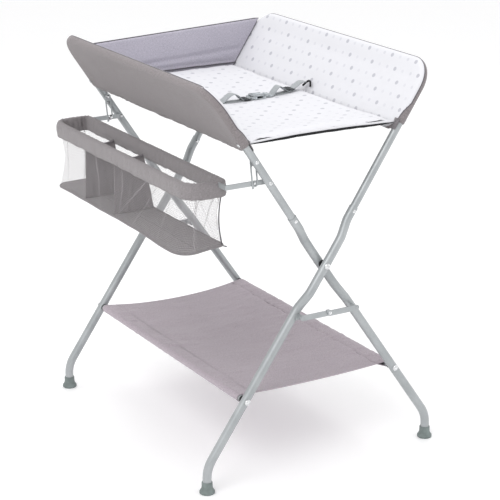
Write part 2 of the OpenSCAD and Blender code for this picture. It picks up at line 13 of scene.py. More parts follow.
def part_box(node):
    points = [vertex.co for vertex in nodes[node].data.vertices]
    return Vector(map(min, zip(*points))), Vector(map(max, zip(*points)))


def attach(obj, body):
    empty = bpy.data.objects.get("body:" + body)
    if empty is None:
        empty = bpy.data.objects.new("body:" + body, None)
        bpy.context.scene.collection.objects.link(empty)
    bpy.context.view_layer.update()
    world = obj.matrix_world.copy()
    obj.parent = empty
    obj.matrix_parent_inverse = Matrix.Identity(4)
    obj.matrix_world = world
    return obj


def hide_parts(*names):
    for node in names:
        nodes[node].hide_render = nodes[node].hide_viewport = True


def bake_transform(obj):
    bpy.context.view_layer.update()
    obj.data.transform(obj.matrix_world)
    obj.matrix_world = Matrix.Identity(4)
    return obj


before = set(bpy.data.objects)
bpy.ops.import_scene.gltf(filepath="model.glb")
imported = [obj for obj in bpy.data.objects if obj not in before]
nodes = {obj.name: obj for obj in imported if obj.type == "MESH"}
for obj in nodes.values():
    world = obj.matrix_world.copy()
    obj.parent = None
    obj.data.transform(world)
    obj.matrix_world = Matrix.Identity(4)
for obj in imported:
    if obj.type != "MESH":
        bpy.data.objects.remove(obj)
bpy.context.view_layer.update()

# ---- Driving dimensions -----------------------------------------------------
UPPER_ANGLE = math.radians(33.7)
KINK = Vector((0.02094, 0, 0.56))
HALF_LENGTH = 0.402
PANEL_BOTTOM_Z = 0.836
PANEL_TOP_Z = 0.985
PANEL_CORNER = 0.072
PANEL_EDGE_R = 0.0118
PANEL_MARGIN = 0.012
PANEL_CUT = {"front": (0.040, 0.025), "back": (0.012, 0.008)}
PAD_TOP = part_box("mattress_pad")[1].z
PAD_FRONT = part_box("mattress_pad")[0].y
PAD_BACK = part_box("mattress_pad")[1].y
BELT_Y = 0.010
RIM_Z = 0.757
RIM_R = 0.005
DOT_PITCH = (0.0332, 0.0315)


# ---- Small helpers ----------------------------------------------------------
def smooth(t):
    t = np.clip(t, 0.0, 1.0)
    return t * t * (3 - 2 * t)


def ripple(x, y, z=0.0, scale=1.0, octaves=3):
    """Fractal noise between about -1 and 1; the scale is in waves per metre."""
    return noise.fractal(Vector((x * scale, y * scale, z)), 0.6, 2.0, octaves)


def spread(low, high, count, edge=0.0):
    """count values from low to high, packed more tightly towards both ends as edge goes to 1."""
    t = np.linspace(0, 1, count)
    packed = 0.5 - 0.5 * np.cos(np.pi * t)
    return low + (high - low) * ((1 - edge) * t + edge * packed)


def shade_smooth(mesh):
    mesh.polygons.foreach_set("use_smooth", [True] * len(mesh.polygons))


def add_mesh(name, verts, faces, uvs=None, materials=(), slots=None):
    """A mesh object; uvs holds one (u, v) per vertex, in metres along the cloth."""
    mesh = bpy.data.meshes.new(name)
    mesh.from_pydata([tuple(v) for v in verts], [], faces)
    if uvs is not None:
        layer = mesh.uv_layers.new(name="cloth")
        flat = np.array([uvs[loop.vertex_index] for loop in mesh.loops], np.float32)
        layer.data.foreach_set("uv", flat.ravel())
    for material in materials:
        mesh.materials.append(material)
    if slots is not None:
        mesh.polygons.foreach_set("material_index", slots)
    shade_smooth(mesh)
    mesh.validate()
    mesh.update()
    obj = bpy.data.objects.new(name, mesh)
    bpy.context.scene.collection.objects.link(obj)
    return obj


def grid_faces(rows, cols, wrap=False, offset=0, flip=False):
    """Quads of a grid of rows x cols vertices; wrap joins the last column to the first."""
    faces = []
    for i in range(rows - 1):
        for j in range(cols if wrap else cols - 1):
            k = (j + 1) % cols
            a, b = offset + i * cols + j, offset + i * cols + k
            c, d = offset + (i + 1) * cols + k, offset + (i + 1) * cols + j
            faces.append((a, d, c, b) if flip else (a, b, c, d))
    return faces


def slab_faces(rows, cols):
    """Faces of a closed slab: an upper grid, a lower one after it, and the sides."""
    count = cols * rows
    faces = grid_faces(rows, cols)
    faces += grid_faces(rows, cols, offset=count, flip=True)
    for j in range(cols - 1):
        faces.append((j, count + j, count + j + 1, j + 1))
        k = (rows - 1) * cols + j
        faces.append((k, k + 1, count + k + 1, count + k))
    for i in range(rows - 1):
        k, m = i * cols, (i + 1) * cols
        faces.append((k, m, count + m, count + k))
        k, m = k + cols - 1, m + cols - 1
        faces.append((k, count + k, count + m, m))
    return faces


def apply_modifiers(obj):
    """Replaces the mesh with the one its modifiers make."""
    graph = bpy.context.evaluated_depsgraph_get()
    mesh = bpy.data.meshes.new_from_object(obj.evaluated_get(graph))
    obj.modifiers.clear()
    old = obj.data
    obj.data = mesh
    bpy.data.meshes.remove(old)
    return obj


def weld(obj):
    """Joins the points that meet along an edge of a closed shell."""
    obj.modifiers.new("weld", "WELD").merge_threshold = 0.00005
    apply_modifiers(obj)


def coordinates(mesh):
    """The mesh's points as an array of (x, y, z) rows."""
    flat = np.empty(len(mesh.vertices) * 3, np.float32)
    mesh.vertices.foreach_get("co", flat)
    return flat.reshape(-1, 3)


def thicken(obj, thickness):
    """Gives a single-layer cloth mesh its thickness."""
    solid = obj.modifiers.new("thickness", "SOLIDIFY")
    solid.thickness = thickness
    solid.offset = 0.0
    solid.use_rim = True
    solid.use_even_offset = False
    return apply_modifiers(obj)


def subdivide(obj):
    modifier = obj.modifiers.new("subdivision", "SUBSURF")
    modifier.levels = 1
    modifier.render_levels = 1
    apply_modifiers(obj)
    shade_smooth(obj.data)
    return obj


def tube_along(name, points, radius, sides, material, closed=False, squeeze=1.0):
    """A round piping or wire along points; squeeze flattens it along Z."""
    pts = [Vector(p) for p in points]
    count = len(pts)
    verts, faces, uvs = [], [], []
    up = Vector((0, 0, 1))
    run = 0.0
    for i, p in enumerate(pts):
        after = pts[(i + 1) % count] if closed or i + 1 < count else p
        before = pts[i - 1] if closed or i > 0 else p
        along = (after - before).normalized()
        side = along.cross(up)
        side = side.normalized() if side.length > 1e-4 else Vector((1, 0, 0))
        lift = side.cross(along).normalized()
        run += (p - pts[i - 1]).length if i else 0.0
        for k in range(sides):
            a = 2 * math.pi * k / sides
            verts.append(p + side * radius * math.cos(a) + lift * radius * squeeze * math.sin(a))
            uvs.append((run, a * radius))
    faces = grid_faces(count, sides, wrap=True)
    if closed:
        last = (count - 1) * sides
        for k in range(sides):
            n = (k + 1) % sides
            faces.append((last + k, last + n, n, k))
    else:
        faces.append(tuple(range(sides))[::-1])
        faces.append(tuple((count - 1) * sides + k for k in range(sides)))
    return add_mesh(name, verts, faces, uvs, [material])


def ribbon(name, line, width, thickness, material, crown=0.0):
    """Flat webbing: line holds the centre points, width the full width as a vector."""
    cross = 9
    pts = [Vector(p) for p in line]
    across = Vector(width)
    verts, uvs = [], []
    run = 0.0
    for i, p in enumerate(pts):
        run += (p - pts[i - 1]).length if i else 0.0
        ahead = pts[min(i + 1, len(pts) - 1)] - pts[max(i - 1, 0)]
        normal = ahead.cross(across).normalized()
        for k in range(cross):
            t = k / (cross - 1) - 0.5
            bulge = crown * (1 - 4 * t * t)
            verts.append(p + across * t + normal * bulge)
            uvs.append((run, t * across.length))
    obj = add_mesh(name, verts, grid_faces(len(pts), cross), uvs, [material])
    return thicken(obj, thickness)


def rounded_box(low, high, bevel):
    """Vertices and faces of a box with chamfered edges, ready to be joined with others."""
    lo, hi = Vector(low), Vector(high)
    mid, half = (lo + hi) / 2, (hi - lo) / 2
    bevel = min(bevel, 0.49 * min(half) * 2)
    verts, faces = [], []
    corner = {}
    for sx in (-1, 1):
        for sy in (-1, 1):
            for sz in (-1, 1):
                ids = []
                for axis in range(3):
                    p = [sx * (half.x - bevel), sy * (half.y - bevel), sz * (half.z - bevel)]
                    p[axis] += (sx, sy, sz)[axis] * bevel
                    ids.append(len(verts))
                    verts.append(mid + Vector(p))
                corner[(sx, sy, sz)] = ids
                faces.append(tuple(ids) if sx * sy * sz > 0 else tuple(ids[::-1]))
    signs = (-1, 1)
    for axis in range(3):
        u, v = (axis + 1) % 3, (axis + 2) % 3
        for s in signs:
            loop = []
            for su, sv in ((-1, -1), (1, -1), (1, 1), (-1, 1)):
                key = [0, 0, 0]
                key[axis], key[u], key[v] = s, su, sv
                loop.append(corner[tuple(key)][axis])
            faces.append(tuple(loop) if s > 0 else tuple(loop[::-1]))
        for su in signs:
            for sv in signs:
                ends = []
                for s in signs:
                    key = [0, 0, 0]
                    key[axis], key[u], key[v] = s, su, sv
                    ends.append(corner[tuple(key)])
                quad = (ends[0][u], ends[1][u], ends[1][v], ends[0][v])
                faces.append(quad if su * sv > 0 else quad[::-1])
    return verts, faces


def joined(name, parts, material):
    """One object from several closed shells, each a (verts, faces) pair."""
    verts, faces = [], []
    for part_verts, part_faces in parts:
        start = len(verts)
        verts += part_verts
        faces += [tuple(start + k for k in face) for face in part_faces]
    obj = add_mesh(name, verts, faces, None, [material])
    return subdivide(obj)


# ---- Materials --------------------------------------------------------------
class Shader:
    """A new material with short ways to add and join its nodes."""

    def __init__(self, name, color, rough=0.5, **sockets):
        self.material = bpy.data.materials.new(name)
        self.material.use_nodes = True
        self.tree = self.material.node_tree
        self.bsdf = self.tree.nodes["Principled BSDF"]
        self.set("Base Color", (*color, 1))
        self.set("Roughness", rough)
        for key, value in sockets.items():
            self.set(key.replace("_", " "), value)

    def set(self, socket, value):
        self.bsdf.inputs[socket].default_value = value

    def node(self, kind, inputs=None, **fields):
        made = self.tree.nodes.new("ShaderNode" + kind)
        for key, value in fields.items():
            setattr(made, key, value)
        for key, value in (inputs or {}).items():
            target = made.inputs[key]
            if isinstance(value, bpy.types.NodeSocket):
                self.tree.links.new(value, target)
            else:
                target.default_value = value
        return made

    def math(self, operation, a, b=0.0, clamp=False):
        made = self.node("Math", {0: a, 1: b}, operation=operation, use_clamp=clamp)
        return made.outputs[0]

    def mix(self, share, a, b):
        made = self.node("Mix", {"Factor": share}, data_type="RGBA")
        for key, value in (("A", a), ("B", b)):
            socket = [s for s in made.inputs if s.name == key and s.type == "RGBA"][0]
            if isinstance(value, bpy.types.NodeSocket):
                self.tree.links.new(value, socket)
            else:
                socket.default_value = (*value, 1)
        return [s for s in made.outputs if s.type == "RGBA"][0]

    def place(self, cloth=False):
        if cloth:
            return self.node("UVMap", uv_map="cloth").outputs[0]
        return self.node("TexCoord").outputs["Object"]

    def noise(self, where, scale, detail=3.0, rough=0.5):
        made = self.node("TexNoise", {"Vector": where, "Scale": scale, "Detail": detail, "Roughness": rough})
        return made.outputs[0]

    def ramp(self, value, low, high):
        made = self.node("MapRange", {"Value": value, "From Min": low, "From Max": high}, clamp=True)
        return made.outputs[0]

    def bump(self, height, strength, distance, normal=None):
        made = self.node("Bump", {"Height": height, "Strength": strength, "Distance": distance})
        if normal is not None:
            self.tree.links.new(normal, made.inputs["Normal"])
        return made.outputs[0]

    def link(self, output, socket):
        self.tree.links.new(output, self.bsdf.inputs[socket])


def weave(shader, where, thread):
    """Height of a plain weave whose threads are that wide, in metres."""
    parts = shader.node("SeparateXYZ", {0: where})
    waves = []
    for axis in (0, 1):
        turns = shader.math("MULTIPLY", parts.outputs[axis], math.pi / thread)
        waves.append(shader.math("SINE", turns))
    return shader.math("MULTIPLY", waves[0], waves[1])


def painted_steel():
    s = Shader(
        "painted_steel", (0.33, 0.35, 0.355), 0.40, Metallic=0.35, Coat_Weight=0.15, Coat_Roughness=0.25
    )
    where = s.place()
    tone = s.ramp(s.noise(where, 18, 4), 0.35, 0.65)
    s.link(s.mix(tone, (0.35, 0.37, 0.38), (0.41, 0.43, 0.44)), "Base Color")
    s.link(s.math("ADD", s.math("MULTIPLY", s.noise(where, 90, 4), 0.16), 0.32), "Roughness")
    s.link(s.bump(s.noise(where, 900, 2), 0.12, 0.0004), "Normal")
    return s.material


def zinc():
    s = Shader("zinc", (0.72, 0.73, 0.74), 0.25, Metallic=1.0)
    where = s.place()
    tone = s.ramp(s.noise(where, 220, 3), 0.4, 0.6)
    s.link(s.mix(tone, (0.62, 0.63, 0.64), (0.80, 0.81, 0.82)), "Base Color")
    s.link(s.math("ADD", s.math("MULTIPLY", s.noise(where, 500, 3), 0.2), 0.16), "Roughness")
    return s.material


def moulded(name, color, rough):
    """Moulded rubber or plastic with a fine spark-eroded grain."""
    s = Shader(name, color, rough, Specular_IOR_Level=0.45)
    where = s.place()
    light = tuple(min(1, c * 1.25 + 0.01) for c in color)
    s.link(s.mix(s.ramp(s.noise(where, 60, 4), 0.4, 0.65), color, light), "Base Color")
    s.link(s.math("ADD", s.math("MULTIPLY", s.noise(where, 240, 3), 0.2), rough - 0.1), "Roughness")
    s.link(s.bump(s.noise(where, 700, 2), 0.25, 0.0003), "Normal")
    return s.material


def woven(name, dark, light, thread=0.0007, sheen=0.25, depth=0.0003):
    """Melange cloth: two yarn tones, slubs and a plain weave."""
    s = Shader(name, light, 0.85, Sheen_Weight=sheen, Sheen_Roughness=0.5, Specular_IOR_Level=0.25)
    where = s.place(cloth=True)
    stretch = s.node("Mapping", {"Vector": where, "Scale": (1.0, 7.0, 1.0)}).outputs[0]
    other = s.node("Mapping", {"Vector": where, "Scale": (7.0, 1.0, 1.0)}).outputs[0]
    yarns = s.math("ADD", s.noise(stretch, 160, 3, 0.6), s.noise(other, 160, 3, 0.6))
    mottle = s.noise(where, 420, 2)
    share = s.ramp(s.math("ADD", yarns, s.math("MULTIPLY", mottle, 0.7)), 1.1, 1.6)
    cloth = s.mix(share, dark, light)
    shade = s.ramp(s.noise(where, 9, 3), 0.3, 0.7)
    darker = tuple(c * 0.93 for c in light)
    s.link(s.mix(s.math("MULTIPLY", shade, 0.25), cloth, darker), "Base Color")
    fine = weave(s, where, thread)
    first = s.bump(fine, 0.5, depth)
    s.link(s.bump(s.noise(where, 130, 3), 0.25, 0.0006, first), "Normal")
    return s.material


def dotted():
    """White coated cloth with a square grid of dots in three tones that step along diagonals."""
    s = Shader("dotted_cloth", (0.90, 0.90, 0.93), 0.6, Sheen_Weight=0.1, Specular_IOR_Level=0.3)
    where = s.place(cloth=True)
    parts = s.node("SeparateXYZ", {0: where})
    cells, offsets = [], []
    for axis, pitch in enumerate(DOT_PITCH):
        along = s.math("DIVIDE", parts.outputs[axis], pitch)
        cells.append(s.math("FLOOR", along))
        offsets.append(s.math("SUBTRACT", s.math("FRACT", along), 0.5))
    far = s.math("SQRT", s.math("ADD", s.math("POWER", offsets[0], 2.0), s.math("POWER", offsets[1], 2.0)))
    step = s.math("FLOORED_MODULO", s.math("SUBTRACT", cells[0], cells[1]), 3.0)
    main = s.math("COMPARE", step, 0.0)
    third = s.math("COMPARE", step, 2.0)
    edge = s.math("ADD", s.math("MULTIPLY", main, 0.03), 0.165)
    inside = s.math("MULTIPLY", s.math("SUBTRACT", edge, far), 22.0, clamp=True)
    tone = s.mix(main, (0.585, 0.585, 0.625), (0.42, 0.42, 0.465))
    tone = s.mix(s.math("MULTIPLY", third, 0.6), tone, (0.64, 0.64, 0.675))
    speck = s.ramp(s.noise(where, 900, 2), 0.35, 0.6)
    tone = s.mix(s.math("MULTIPLY", speck, 0.35), tone, (0.66, 0.66, 0.695))
    base = s.mix(s.math("MULTIPLY", s.noise(where, 7, 3), 0.35), (0.69, 0.69, 0.72), (0.65, 0.65, 0.68))
    s.link(s.mix(inside, base, tone), "Base Color")
    first = s.bump(weave(s, where, 0.0006), 0.3, 0.0002)
    s.link(s.bump(s.noise(where, 60, 3), 0.3, 0.0008, first), "Normal")
    return s.material


def net(name, color, cell, thread, solid=0.0):
    """Knitted net: hexagon-like holes; a vertex layer says where the net lies double, which makes it denser
    there, and the same layer darkens its colour along the creases as painted shade.
    """
    s = Shader(name, color, 0.7, Sheen_Weight=0.2)
    where = s.place(cloth=True)
    holes = s.node(
        "TexVoronoi",
        {"Vector": where, "Scale": 1.0 / cell, "Randomness": 0.12},
        feature="DISTANCE_TO_EDGE",
        voronoi_dimensions="2D",
    ).outputs[0]
    pleat_and_shade = s.node("Attribute", attribute_name="pleat_and_shade", attribute_type="GEOMETRY").outputs["Fac"]
    limit = s.math("ADD", s.math("MULTIPLY", pleat_and_shade, 0.3), thread)
    cover = s.math("MULTIPLY", s.math("SUBTRACT", limit, holes), 40.0, clamp=True)
    s.link(s.math("MAXIMUM", cover, solid), "Alpha")
    # Painted shade: the net's colour is darkened along its creases, where the folds lie in shade.
    shade = s.math("MULTIPLY", pleat_and_shade, 0.8, clamp=True)
    s.link(s.mix(shade, color, tuple(c * 0.45 for c in color)), "Base Color")
    return s.material


def webbing():
    s = Shader("webbing", (0.36, 0.385, 0.40), 0.6, Sheen_Weight=0.3, Specular_IOR_Level=0.4)
    where = s.place(cloth=True)
    parts = s.node("SeparateXYZ", {0: where})
    ribs = s.math("SINE", s.math("MULTIPLY", parts.outputs[0], 2 * math.pi / 0.0016))
    rows = s.math("SINE", s.math("MULTIPLY", parts.outputs[1], 2 * math.pi / 0.0031))
    height = s.math("ADD", ribs, s.math("MULTIPLY", rows, 0.7))
    # Painted shade and light: the colour follows the rib height, darker in the grooves and lighter on the
    # rib tops.
    tone = s.ramp(height, -1.4, 1.4)
    cloth = s.mix(tone, (0.27, 0.29, 0.305), (0.44, 0.465, 0.48))
    s.link(cloth, "Base Color")
    s.link(s.bump(height, 0.6, 0.0004), "Normal")
    return s.material


def floor_finish():
    s = Shader("floor", (0.95, 0.95, 0.955), 0.35, Specular_IOR_Level=0.25, Emission_Strength=0.10)
    s.set("Emission Color", (1, 1, 1, 1))
    where = s.place()
    s.link(s.math("ADD", s.math("MULTIPLY", s.noise(where, 3, 3), 0.12), 0.28), "Roughness")
    return s.material


STEEL = painted_steel()
ZINC = zinc()
RUBBER = moulded("cap_rubber", (0.155, 0.185, 0.18), 0.55)
BLACK = moulded("black_plastic", (0.012, 0.012, 0.014), 0.45)
BUCKLE = moulded("buckle_plastic", (0.43, 0.46, 0.48), 0.4)
SLIDER = moulded("slider_plastic", (0.035, 0.04, 0.045), 0.4)
PANEL_GREY = woven("panel_grey", (0.158, 0.14, 0.144), (0.284, 0.257, 0.263))
BACK_GREY = woven("back_grey", (0.31, 0.297, 0.352), (0.517, 0.49, 0.566))
SHELF_GREY = woven("shelf_grey", (0.31, 0.267, 0.298), (0.533, 0.465, 0.515), thread=0.0009)
# Also used on the basket divider hems, where its darker tone is painted shade.
CUFF_GREY = woven("cuff_grey", (0.13, 0.12, 0.13), (0.22, 0.205, 0.215))
BAND_GREY = woven("band_grey", (0.175, 0.161, 0.166), (0.308, 0.285, 0.293))
DOTTED = dotted()
PIPING = woven("piping", (0.07, 0.066, 0.078), (0.13, 0.122, 0.14), thread=0.0005)
UNDERSIDE = woven("underside", (0.006, 0.006, 0.007), (0.016, 0.016, 0.018), sheen=0.1)
NET = net("net", (0.40, 0.375, 0.39), 0.0044, 0.070)
BINDING = woven("binding", (0.162, 0.152, 0.157), (0.275, 0.257, 0.264), thread=0.0005)
# The band's cloth made about 0.85 times as dark: painted shade on the dividers inside the basket.
DIVIDER_GREY = woven("divider_grey", (0.15, 0.138, 0.142), (0.26, 0.24, 0.247))
WEBBING = webbing()


# ---- Camera, lights, floor --------------------------------------------------
def make_camera():
    data = bpy.data.cameras.new("camera")
    data.lens = 125.6
    data.sensor_width = 36
    camera = bpy.data.objects.new("camera", data)
    bpy.context.scene.collection.objects.link(camera)
    azimuth, elevation, distance = math.radians(-30.8), math.radians(18.2), 4.559
    target = Vector((0.0161, -0.0206, 0.4588))
    back = Vector(
        (
            math.sin(azimuth) * math.cos(elevation),
            -math.cos(azimuth) * math.cos(elevation),
            math.sin(elevation),
        )
    )
    camera.location = target + back * distance
    camera.rotation_mode = "QUATERNION"
    camera.rotation_quaternion = (-back).to_track_quat("-Z", "Y")
    data.clip_end = 100
    bpy.context.scene.camera = camera


def area_light(name, place, aim, size, power):
    data = bpy.data.lights.new(name, "AREA")
    data.shape = "RECTANGLE"
    data.size, data.size_y = size
    data.energy = power
    light = bpy.data.objects.new(name, data)
    bpy.context.scene.collection.objects.link(light)
    light.location = place
    light.rotation_mode = "QUATERNION"
    light.rotation_quaternion = (Vector(place) - Vector(aim)).to_track_quat("Z", "Y")


def make_stage():
    world = bpy.data.worlds.new("world")
    bpy.context.scene.world = world
    world.use_nodes = True
    world.node_tree.nodes["Background"].inputs[0].default_value = (1.0, 1.0, 1.0, 1)
    world.node_tree.nodes["Background"].inputs[1].default_value = 0.90
    area_light("key", (-2.4, -1.6, 3.0), (0, 0, 0.6), (2.2, 2.2), 49)
    area_light("fill", (3.0, -2.6, 1.8), (0, 0, 0.5), (2.5, 2.0), 13)
    area_light("top", (0.3, 0.8, 3.4), (0, 0, 0.8), (2.5, 2.5), 29)
    half = 14.0
    floor = add_mesh(
        "floor",
        [(-half, -half, 0), (half, -half, 0), (half, half, 0), (-half, half, 0)],
        [(0, 1, 2, 3)],
        None,
        [floor_finish()],
    )
    scene = bpy.context.scene
    scene.view_settings.view_transform = "Standard"
    scene.view_settings.exposure = 0.0


# ---- Finishes of the CAD nodes ----------------------------------------------
def finish_nodes():
    groups = {
        STEEL: (
            "loop", "leg_", "shelf_rod", "brace_lug", "brace_post", "_bar", "basket_arm", "basket_link",
            "basket_rim",
        ),
        ZINC: ("rivet", "bolts", "nuts", "snaps"),
        RUBBER: ("foot_cap",),
        BLACK: ("spacers", "plugs", "floor_wire"),
    }
    order = [ZINC, RUBBER, BLACK, STEEL]
    for name, obj in nodes.items():
        for material in order:
            if any(word in name for word in groups[material]):
                obj.data.materials.clear()
                obj.data.materials.append(material)
                break


# ---- Side panels ------------------------------------------------------------
def panel_point(side, slope, y, out):
    """Point on a side panel: slope along the tube, out towards the outside face."""
    a = UPPER_ANGLE
    x = KINK.x + slope * math.sin(a) + out * math.cos(a)
    z = KINK.z + slope * math.cos(a) - out * math.sin(a)
    return Vector((side * x, y, z))


def slope_of(z):
    return (z - KINK.z) / math.cos(UPPER_ANGLE)


def panel_limits(slope, low, high):
    """Nearest and farthest y of the panel's outline at that slope: cut at the foot, rounded on top."""
    limits = []
    for end, sign in (("front", -1), ("back", 1)):
        run, rise = PANEL_CUT[end]
        cut = run * max(0.0, 1 - (slope - low) / rise) ** 1.3
        over = max(0.0, slope - (high - PANEL_CORNER))
        turn = PANEL_CORNER - math.sqrt(max(0.0, PANEL_CORNER**2 - over**2))
        limits.append(sign * (HALF_LENGTH - cut - turn))
    return limits


def panel_depth(slope, y, low, high):
    """Distance from the top and end edges of the panel's outline."""
    over = slope - (high - PANEL_CORNER)
    beside = abs(y) - (HALF_LENGTH - PANEL_CORNER)
    if over > 0 and beside > 0:
        return max(0.0, PANEL_CORNER - math.hypot(over, beside))
    near, far = panel_limits(slope, low, high)
    return max(0.0, min(y - near, far - y, high - slope))


def edge_half(depth):
    """Half thickness of the panel at that distance from its edge."""
    r = PANEL_EDGE_R
    return math.sqrt(max(0.0, r * r - (r - min(depth, r)) ** 2))


def panel_wrap(side, slope, y, low):
    """How far the outer cloth comes round the edge on to the inner face."""
    foot = float(1 - smooth((slope - low - 0.03) / 0.05))
    base = 0.0016 if side < 0 and abs(y) < 0.35 else 0.0004
    return base + 0.008 * foot * (y < 0)


def side_panel(side):
    """Padded panel: dotted cloth inside, grey cloth outside and over the top, piping on the seam."""
    name = "left" if side < 0 else "right"
    low, high = slope_of(PANEL_BOTTOM_Z), slope_of(PANEL_TOP_Z) + PANEL_MARGIN
    rows, cols = 72, 170
    slopes = spread(low, high, rows, 0.78)
    shares = spread(0, 1, cols, 0.82)
    verts, uvs, depths = [], [], []
    for face in (1, -1):
        for slope in slopes:
            near, far = panel_limits(slope, low, high)
            for share in shares:
                y = near + (far - near) * share
                depth = panel_depth(slope, y, low, high)
                sink = float(smooth((depth - PANEL_EDGE_R) / 0.045))
                half = edge_half(depth) - 0.0034 * sink
                hem = slope - low
                half *= 0.30 + 0.70 * float(smooth((hem + 0.003) / 0.026))
                puff = 0.0011 * ripple(y, slope, 3.1 * face + side, 7, 2)
                fine = 0.0005 * ripple(y, slope, 9.7 * face + side, 38, 3)
                foot = float(1 - smooth(hem / 0.035))
                tuck = 0.0010 * foot * ripple(y, 0.2 * slope, 6.0 * side, 55, 2) * (face > 0)
                half += (puff + fine) * sink + tuck * min(1.0, depth / 0.01)
                p = panel_point(side, slope, y, face * half)
                p.z += 0.0014 * ripple(y, 0, side * 2.0, 9, 2) * foot
                verts.append(p)
                uvs.append((y, slope - slope_of(PAD_TOP)))
                depths.append(depth)
    count = rows * cols
    faces = grid_faces(rows, cols, flip=side < 0)
    slots = [0] * len(faces)
    inner = grid_faces(rows, cols, offset=count, flip=side > 0)
    for face in inner:
        k = min(face) - count
        slope = slopes[k // cols]
        y = verts[min(face)][1]
        slots.append(1 if depths[min(face)] >= panel_wrap(side, slope, y, low) else 0)
    faces += inner
    bottom = [(j, count + j, count + j + 1, j + 1) for j in range(cols - 1)]
    faces += bottom
    slots += [0] * len(bottom)
    obj = add_mesh(f"{name}_side_panel_cover", verts, faces, uvs, [PANEL_GREY, DOTTED], slots)
    weld(obj)
    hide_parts(f"{name}_side_panel")
    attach(obj, f"{name}_frame")
    panel_piping(side, name, low, high)


def panel_piping(side, name, low, high):
    """Thin dark seam where the outer cloth meets the dotted one."""
    path = []
    start = high - PANEL_CORNER
    for slope in np.linspace(low + 0.012, start, 40):
        path.append((slope, panel_limits(slope, low, high)[0], 0, 1))
    for a in np.linspace(0, math.pi / 2, 24)[1:]:
        y = -(HALF_LENGTH - PANEL_CORNER) - PANEL_CORNER * math.cos(a)
        path.append((start + PANEL_CORNER * math.sin(a), y, -math.sin(a), math.cos(a)))
    for y in np.linspace(-(HALF_LENGTH - PANEL_CORNER), 0, 40)[1:]:
        path.append((high, y, -1, 0))
    ahead = path[:]
    for slope, y, ds, dy in reversed(ahead[:-1]):
        if slope > low + 0.03:
            path.append((slope, -y, ds, -dy))
    points = []
    for slope, y, ds, dy in path:
        wrap = max(0.0006, panel_wrap(side, slope, y, low))
        points.append(panel_point(side, slope + ds * wrap, y + dy * wrap, -edge_half(wrap) - 0.0002))
    piping = tube_along(f"{name}_panel_piping", points, 0.0011, 8, material=PIPING)
    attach(piping, f"{name}_frame")


# ---- Bed --------------------------------------------------------------------
def face_x(z, gap=0.0005):
    """Distance from the middle to the inner face of a side panel at height z."""
    return KINK.x + (z - KINK.z) * math.tan(UPPER_ANGLE) - PANEL_EDGE_R / math.cos(UPPER_ANGLE) - gap


def pad_height(x, y):
    """Top of the pad: it sags in the middle, and its front edge stands a little proud."""
    across = max(0.0, 1 - (x / 0.205) ** 2)
    inward = float(smooth((y - PAD_FRONT) / 0.17))
    sag = -0.0125 * across * inward * float(smooth((PAD_BACK - y) / 0.25))
    crown = (0.0065 * across + 0.0015) * (1 - inward)
    return PAD_TOP + sag + crown + 0.0009 * ripple(x, y, 5.0, 8, 3)


def pad_under(x, y):
    """Underside of the pad, where the board lies."""
    inward = float(smooth((y - PAD_FRONT) / 0.10))
    return pad_height(x, y) - 0.0085 - 0.0025 * inward


def mattress():
    """Thin padded mat of dotted cloth with a sewn edge, swollen by a cloth simulation."""
    cols, rows = 61, 121
    verts = []
    xs = np.linspace(-1, 1, cols)
    ys = np.linspace(PAD_FRONT + 0.004, PAD_BACK - 0.003, rows)
    for layer in (1, 0):
        for y in ys:
            for s in xs:
                top = pad_height(s * 0.2, y)
                z = top - 0.0022 if layer else pad_under(s * 0.2, y) + 0.0012
                limit = face_x(z) - 0.0035
                edge = min(1 - abs(s), (y - ys[0]) / 0.2, (ys[-1] - y) / 0.2)
                pinch = 0.0022 * float(1 - smooth(edge / 0.05))
                verts.append((s * limit, y, z - pinch if layer else z + pinch * 0.6))
    faces = slab_faces(rows, cols)
    obj = add_mesh("mattress_cover", verts, faces)
    inflate(obj, voxel=0.005, pressure=4.0, cap=0.0035)
    paint_cloth(obj, DOTTED)
    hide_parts("mattress_pad")
    across_bed(obj)


def across_bed(obj):
    """Bakes the piece's placement into its mesh; it is left unattached to either frame."""
    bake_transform(obj)


def paint_cloth(obj, material):
    """Flat cloth coordinates, as on a mat cut from the same cloth as the panels."""
    mesh = obj.data
    while mesh.uv_layers:
        mesh.uv_layers.remove(mesh.uv_layers[0])
    layer = mesh.uv_layers.new(name="cloth")
    co = coordinates(mesh)
    index = np.empty(len(mesh.loops), np.int32)
    mesh.loops.foreach_get("vertex_index", index)
    flat = np.stack([co[index, 1], co[index, 0] - face_x(PAD_TOP)], axis=1)
    layer.data.foreach_set("uv", flat.astype(np.float32).ravel())
    mesh.materials.clear()
    mesh.materials.append(material)
    shade_smooth(mesh)


def inflate(obj, voxel, pressure, cap):
    """Swells a closed mesh with Blender's cloth; no point ends more than cap from where it was."""
    frames, stiffness = 20, 15.0
    scene = bpy.context.scene
    remesh = obj.modifiers.new("remesh", "REMESH")
    remesh.mode = "VOXEL"
    remesh.voxel_size = voxel
    apply_modifiers(obj)
    before = coordinates(obj.data)
    cloth = obj.modifiers.new("cloth", "CLOTH")
    settings = cloth.settings
    settings.quality = 4
    settings.mass = 0.25
    settings.tension_stiffness = stiffness
    settings.compression_stiffness = stiffness
    settings.shear_stiffness = 5.0
    settings.bending_stiffness = 0.4
    settings.use_pressure = True
    settings.uniform_pressure_force = pressure
    settings.effector_weights.gravity = 0.0
    cloth.collision_settings.use_collision = False
    cloth.collision_settings.use_self_collision = False
    cloth.point_cache.frame_start = 1
    cloth.point_cache.frame_end = frames
    for number in range(1, frames + 1):
        scene.frame_set(number)
    graph = bpy.context.evaluated_depsgraph_get()
    swollen = obj.evaluated_get(graph).to_mesh()
    step = coordinates(swollen) - before
    length = np.linalg.norm(step, axis=1, keepdims=True)
    step *= np.minimum(1.0, cap / np.maximum(length, 1e-9))
    obj.modifiers.clear()
    obj.data.vertices.foreach_set("co", (before + step).astype(np.float32).ravel())
    obj.data.update()
    scene.frame_set(1)
    smooth_mod = obj.modifiers.new("smooth", "SMOOTH")
    smooth_mod.factor = 0.5
    smooth_mod.iterations = 2
    apply_modifiers(obj)
    subdivide(obj)


